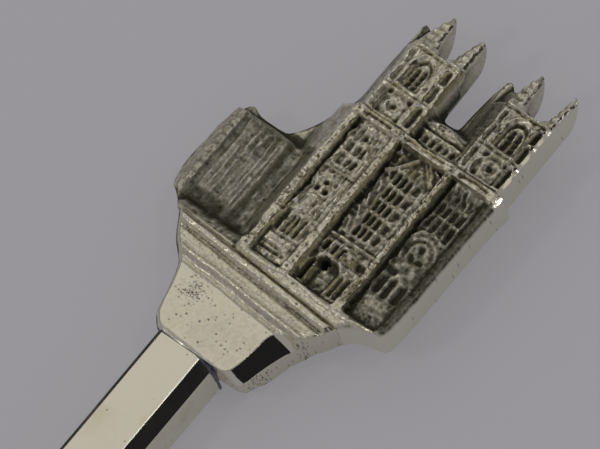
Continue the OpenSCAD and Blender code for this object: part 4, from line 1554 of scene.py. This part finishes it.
# %% A tube along a path
def bead_of_solder(name, path, radius, seed, closed):
    """A tube along a path, thicker and thinner at random."""
    random = np.random.default_rng(seed)
    path = np.asarray(path, float)
    ahead = np.roll(path, -1, 0) - np.roll(path, 1, 0)
    if not closed:
        ahead[0], ahead[-1] = path[1] - path[0], path[-1] - path[-2]
    swell = np.convolve(random.normal(0, 1, len(path) + 6), np.ones(7) / 3, "valid").clip(-2, 2)
    size = radius * (1 + 0.25 * swell)
    turn = np.linspace(0, 2 * math.pi, 10, endpoint=False)
    rings = []
    for place, way, r in zip(path, ahead, size):
        way = Vector(way).normalized()
        side = way.orthogonal() if abs(way.x) > 0.9 else way.cross(Vector((1, 0, 0)))
        side.normalize()
        other = way.cross(side)
        spokes = [(side * math.cos(a) + other * math.sin(a)) * float(r) for a in turn]
        rings.append([tuple(Vector(place) + spoke) for spoke in spokes])
    if closed:
        rings.append(rings[0])
    points, faces = skin_rings(rings, not closed, not closed)
    return make_piece(name, points, faces, SOLDER, "silver_solder", 60)


def along(points, step):
    """Points spaced evenly along a line through others."""
    points = np.asarray(points, float)
    runs = np.concatenate([[0], np.cumsum(np.linalg.norm(np.diff(points, axis=0), axis=1))])
    places = np.linspace(0, runs[-1], max(2, int(runs[-1] / step)))
    return np.stack([np.interp(places, runs, points[:, k]) for k in range(3)], 1)


print("one millimetre in steps of 0.15:", len(along([(0, 0, 0), (1, 0, 0)], 0.15)), "points")

# %% [markdown]
# ## Where the solder lies
# At the finial the bead runs round the end of the stem, thinner on its face, and fatter at one
# corner and one drip. Under the bowl it follows both sides of the tongue.

# %% Sweep both beads of solder
joint = stem_ring(SHOULDER_X)
joint = along(np.vstack([joint, joint[:1]]), 0.15)[:-1] + np.array([0.03, 0, 0])
joint[:, 2] = np.maximum(joint[:, 2], 0.16)
on_face = smooth(3.0, 3.35, joint[:, 2])
spike = smooth(0.35, 0.1, np.hypot(joint[:, 1] + 1.05, joint[:, 2] - 3.3))
on_corner = smooth(-0.95, -1.5, joint[:, 1]) * smooth(1.0, 2.2, joint[:, 2])
thickness = 0.075 - 0.05 * on_face + 0.10 * spike + 0.13 * on_corner
finial_bead = bead_of_solder("finial_solder_bead", joint, thickness, 5, True)
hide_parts("finial_solder")
tongue_x = np.linspace(HEEL_X - 0.4, TONGUE_X + 0.1, 60)
tongue_half = tongue_half_width(tongue_x)
side = np.stack([tongue_x, tongue_half, bowl_z(tongue_x, tongue_half) - 0.08], 1)
lap = np.vstack([side, side[::-1] * np.array([1, -1, 1])])
bowl_bead = bead_of_solder("bowl_solder_bead", lap, 0.13, 6, False)
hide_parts("bowl_solder")

low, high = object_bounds()
print("visual box in mm:", [round((b - a) / MM, 2) for a, b in zip(low, high)])
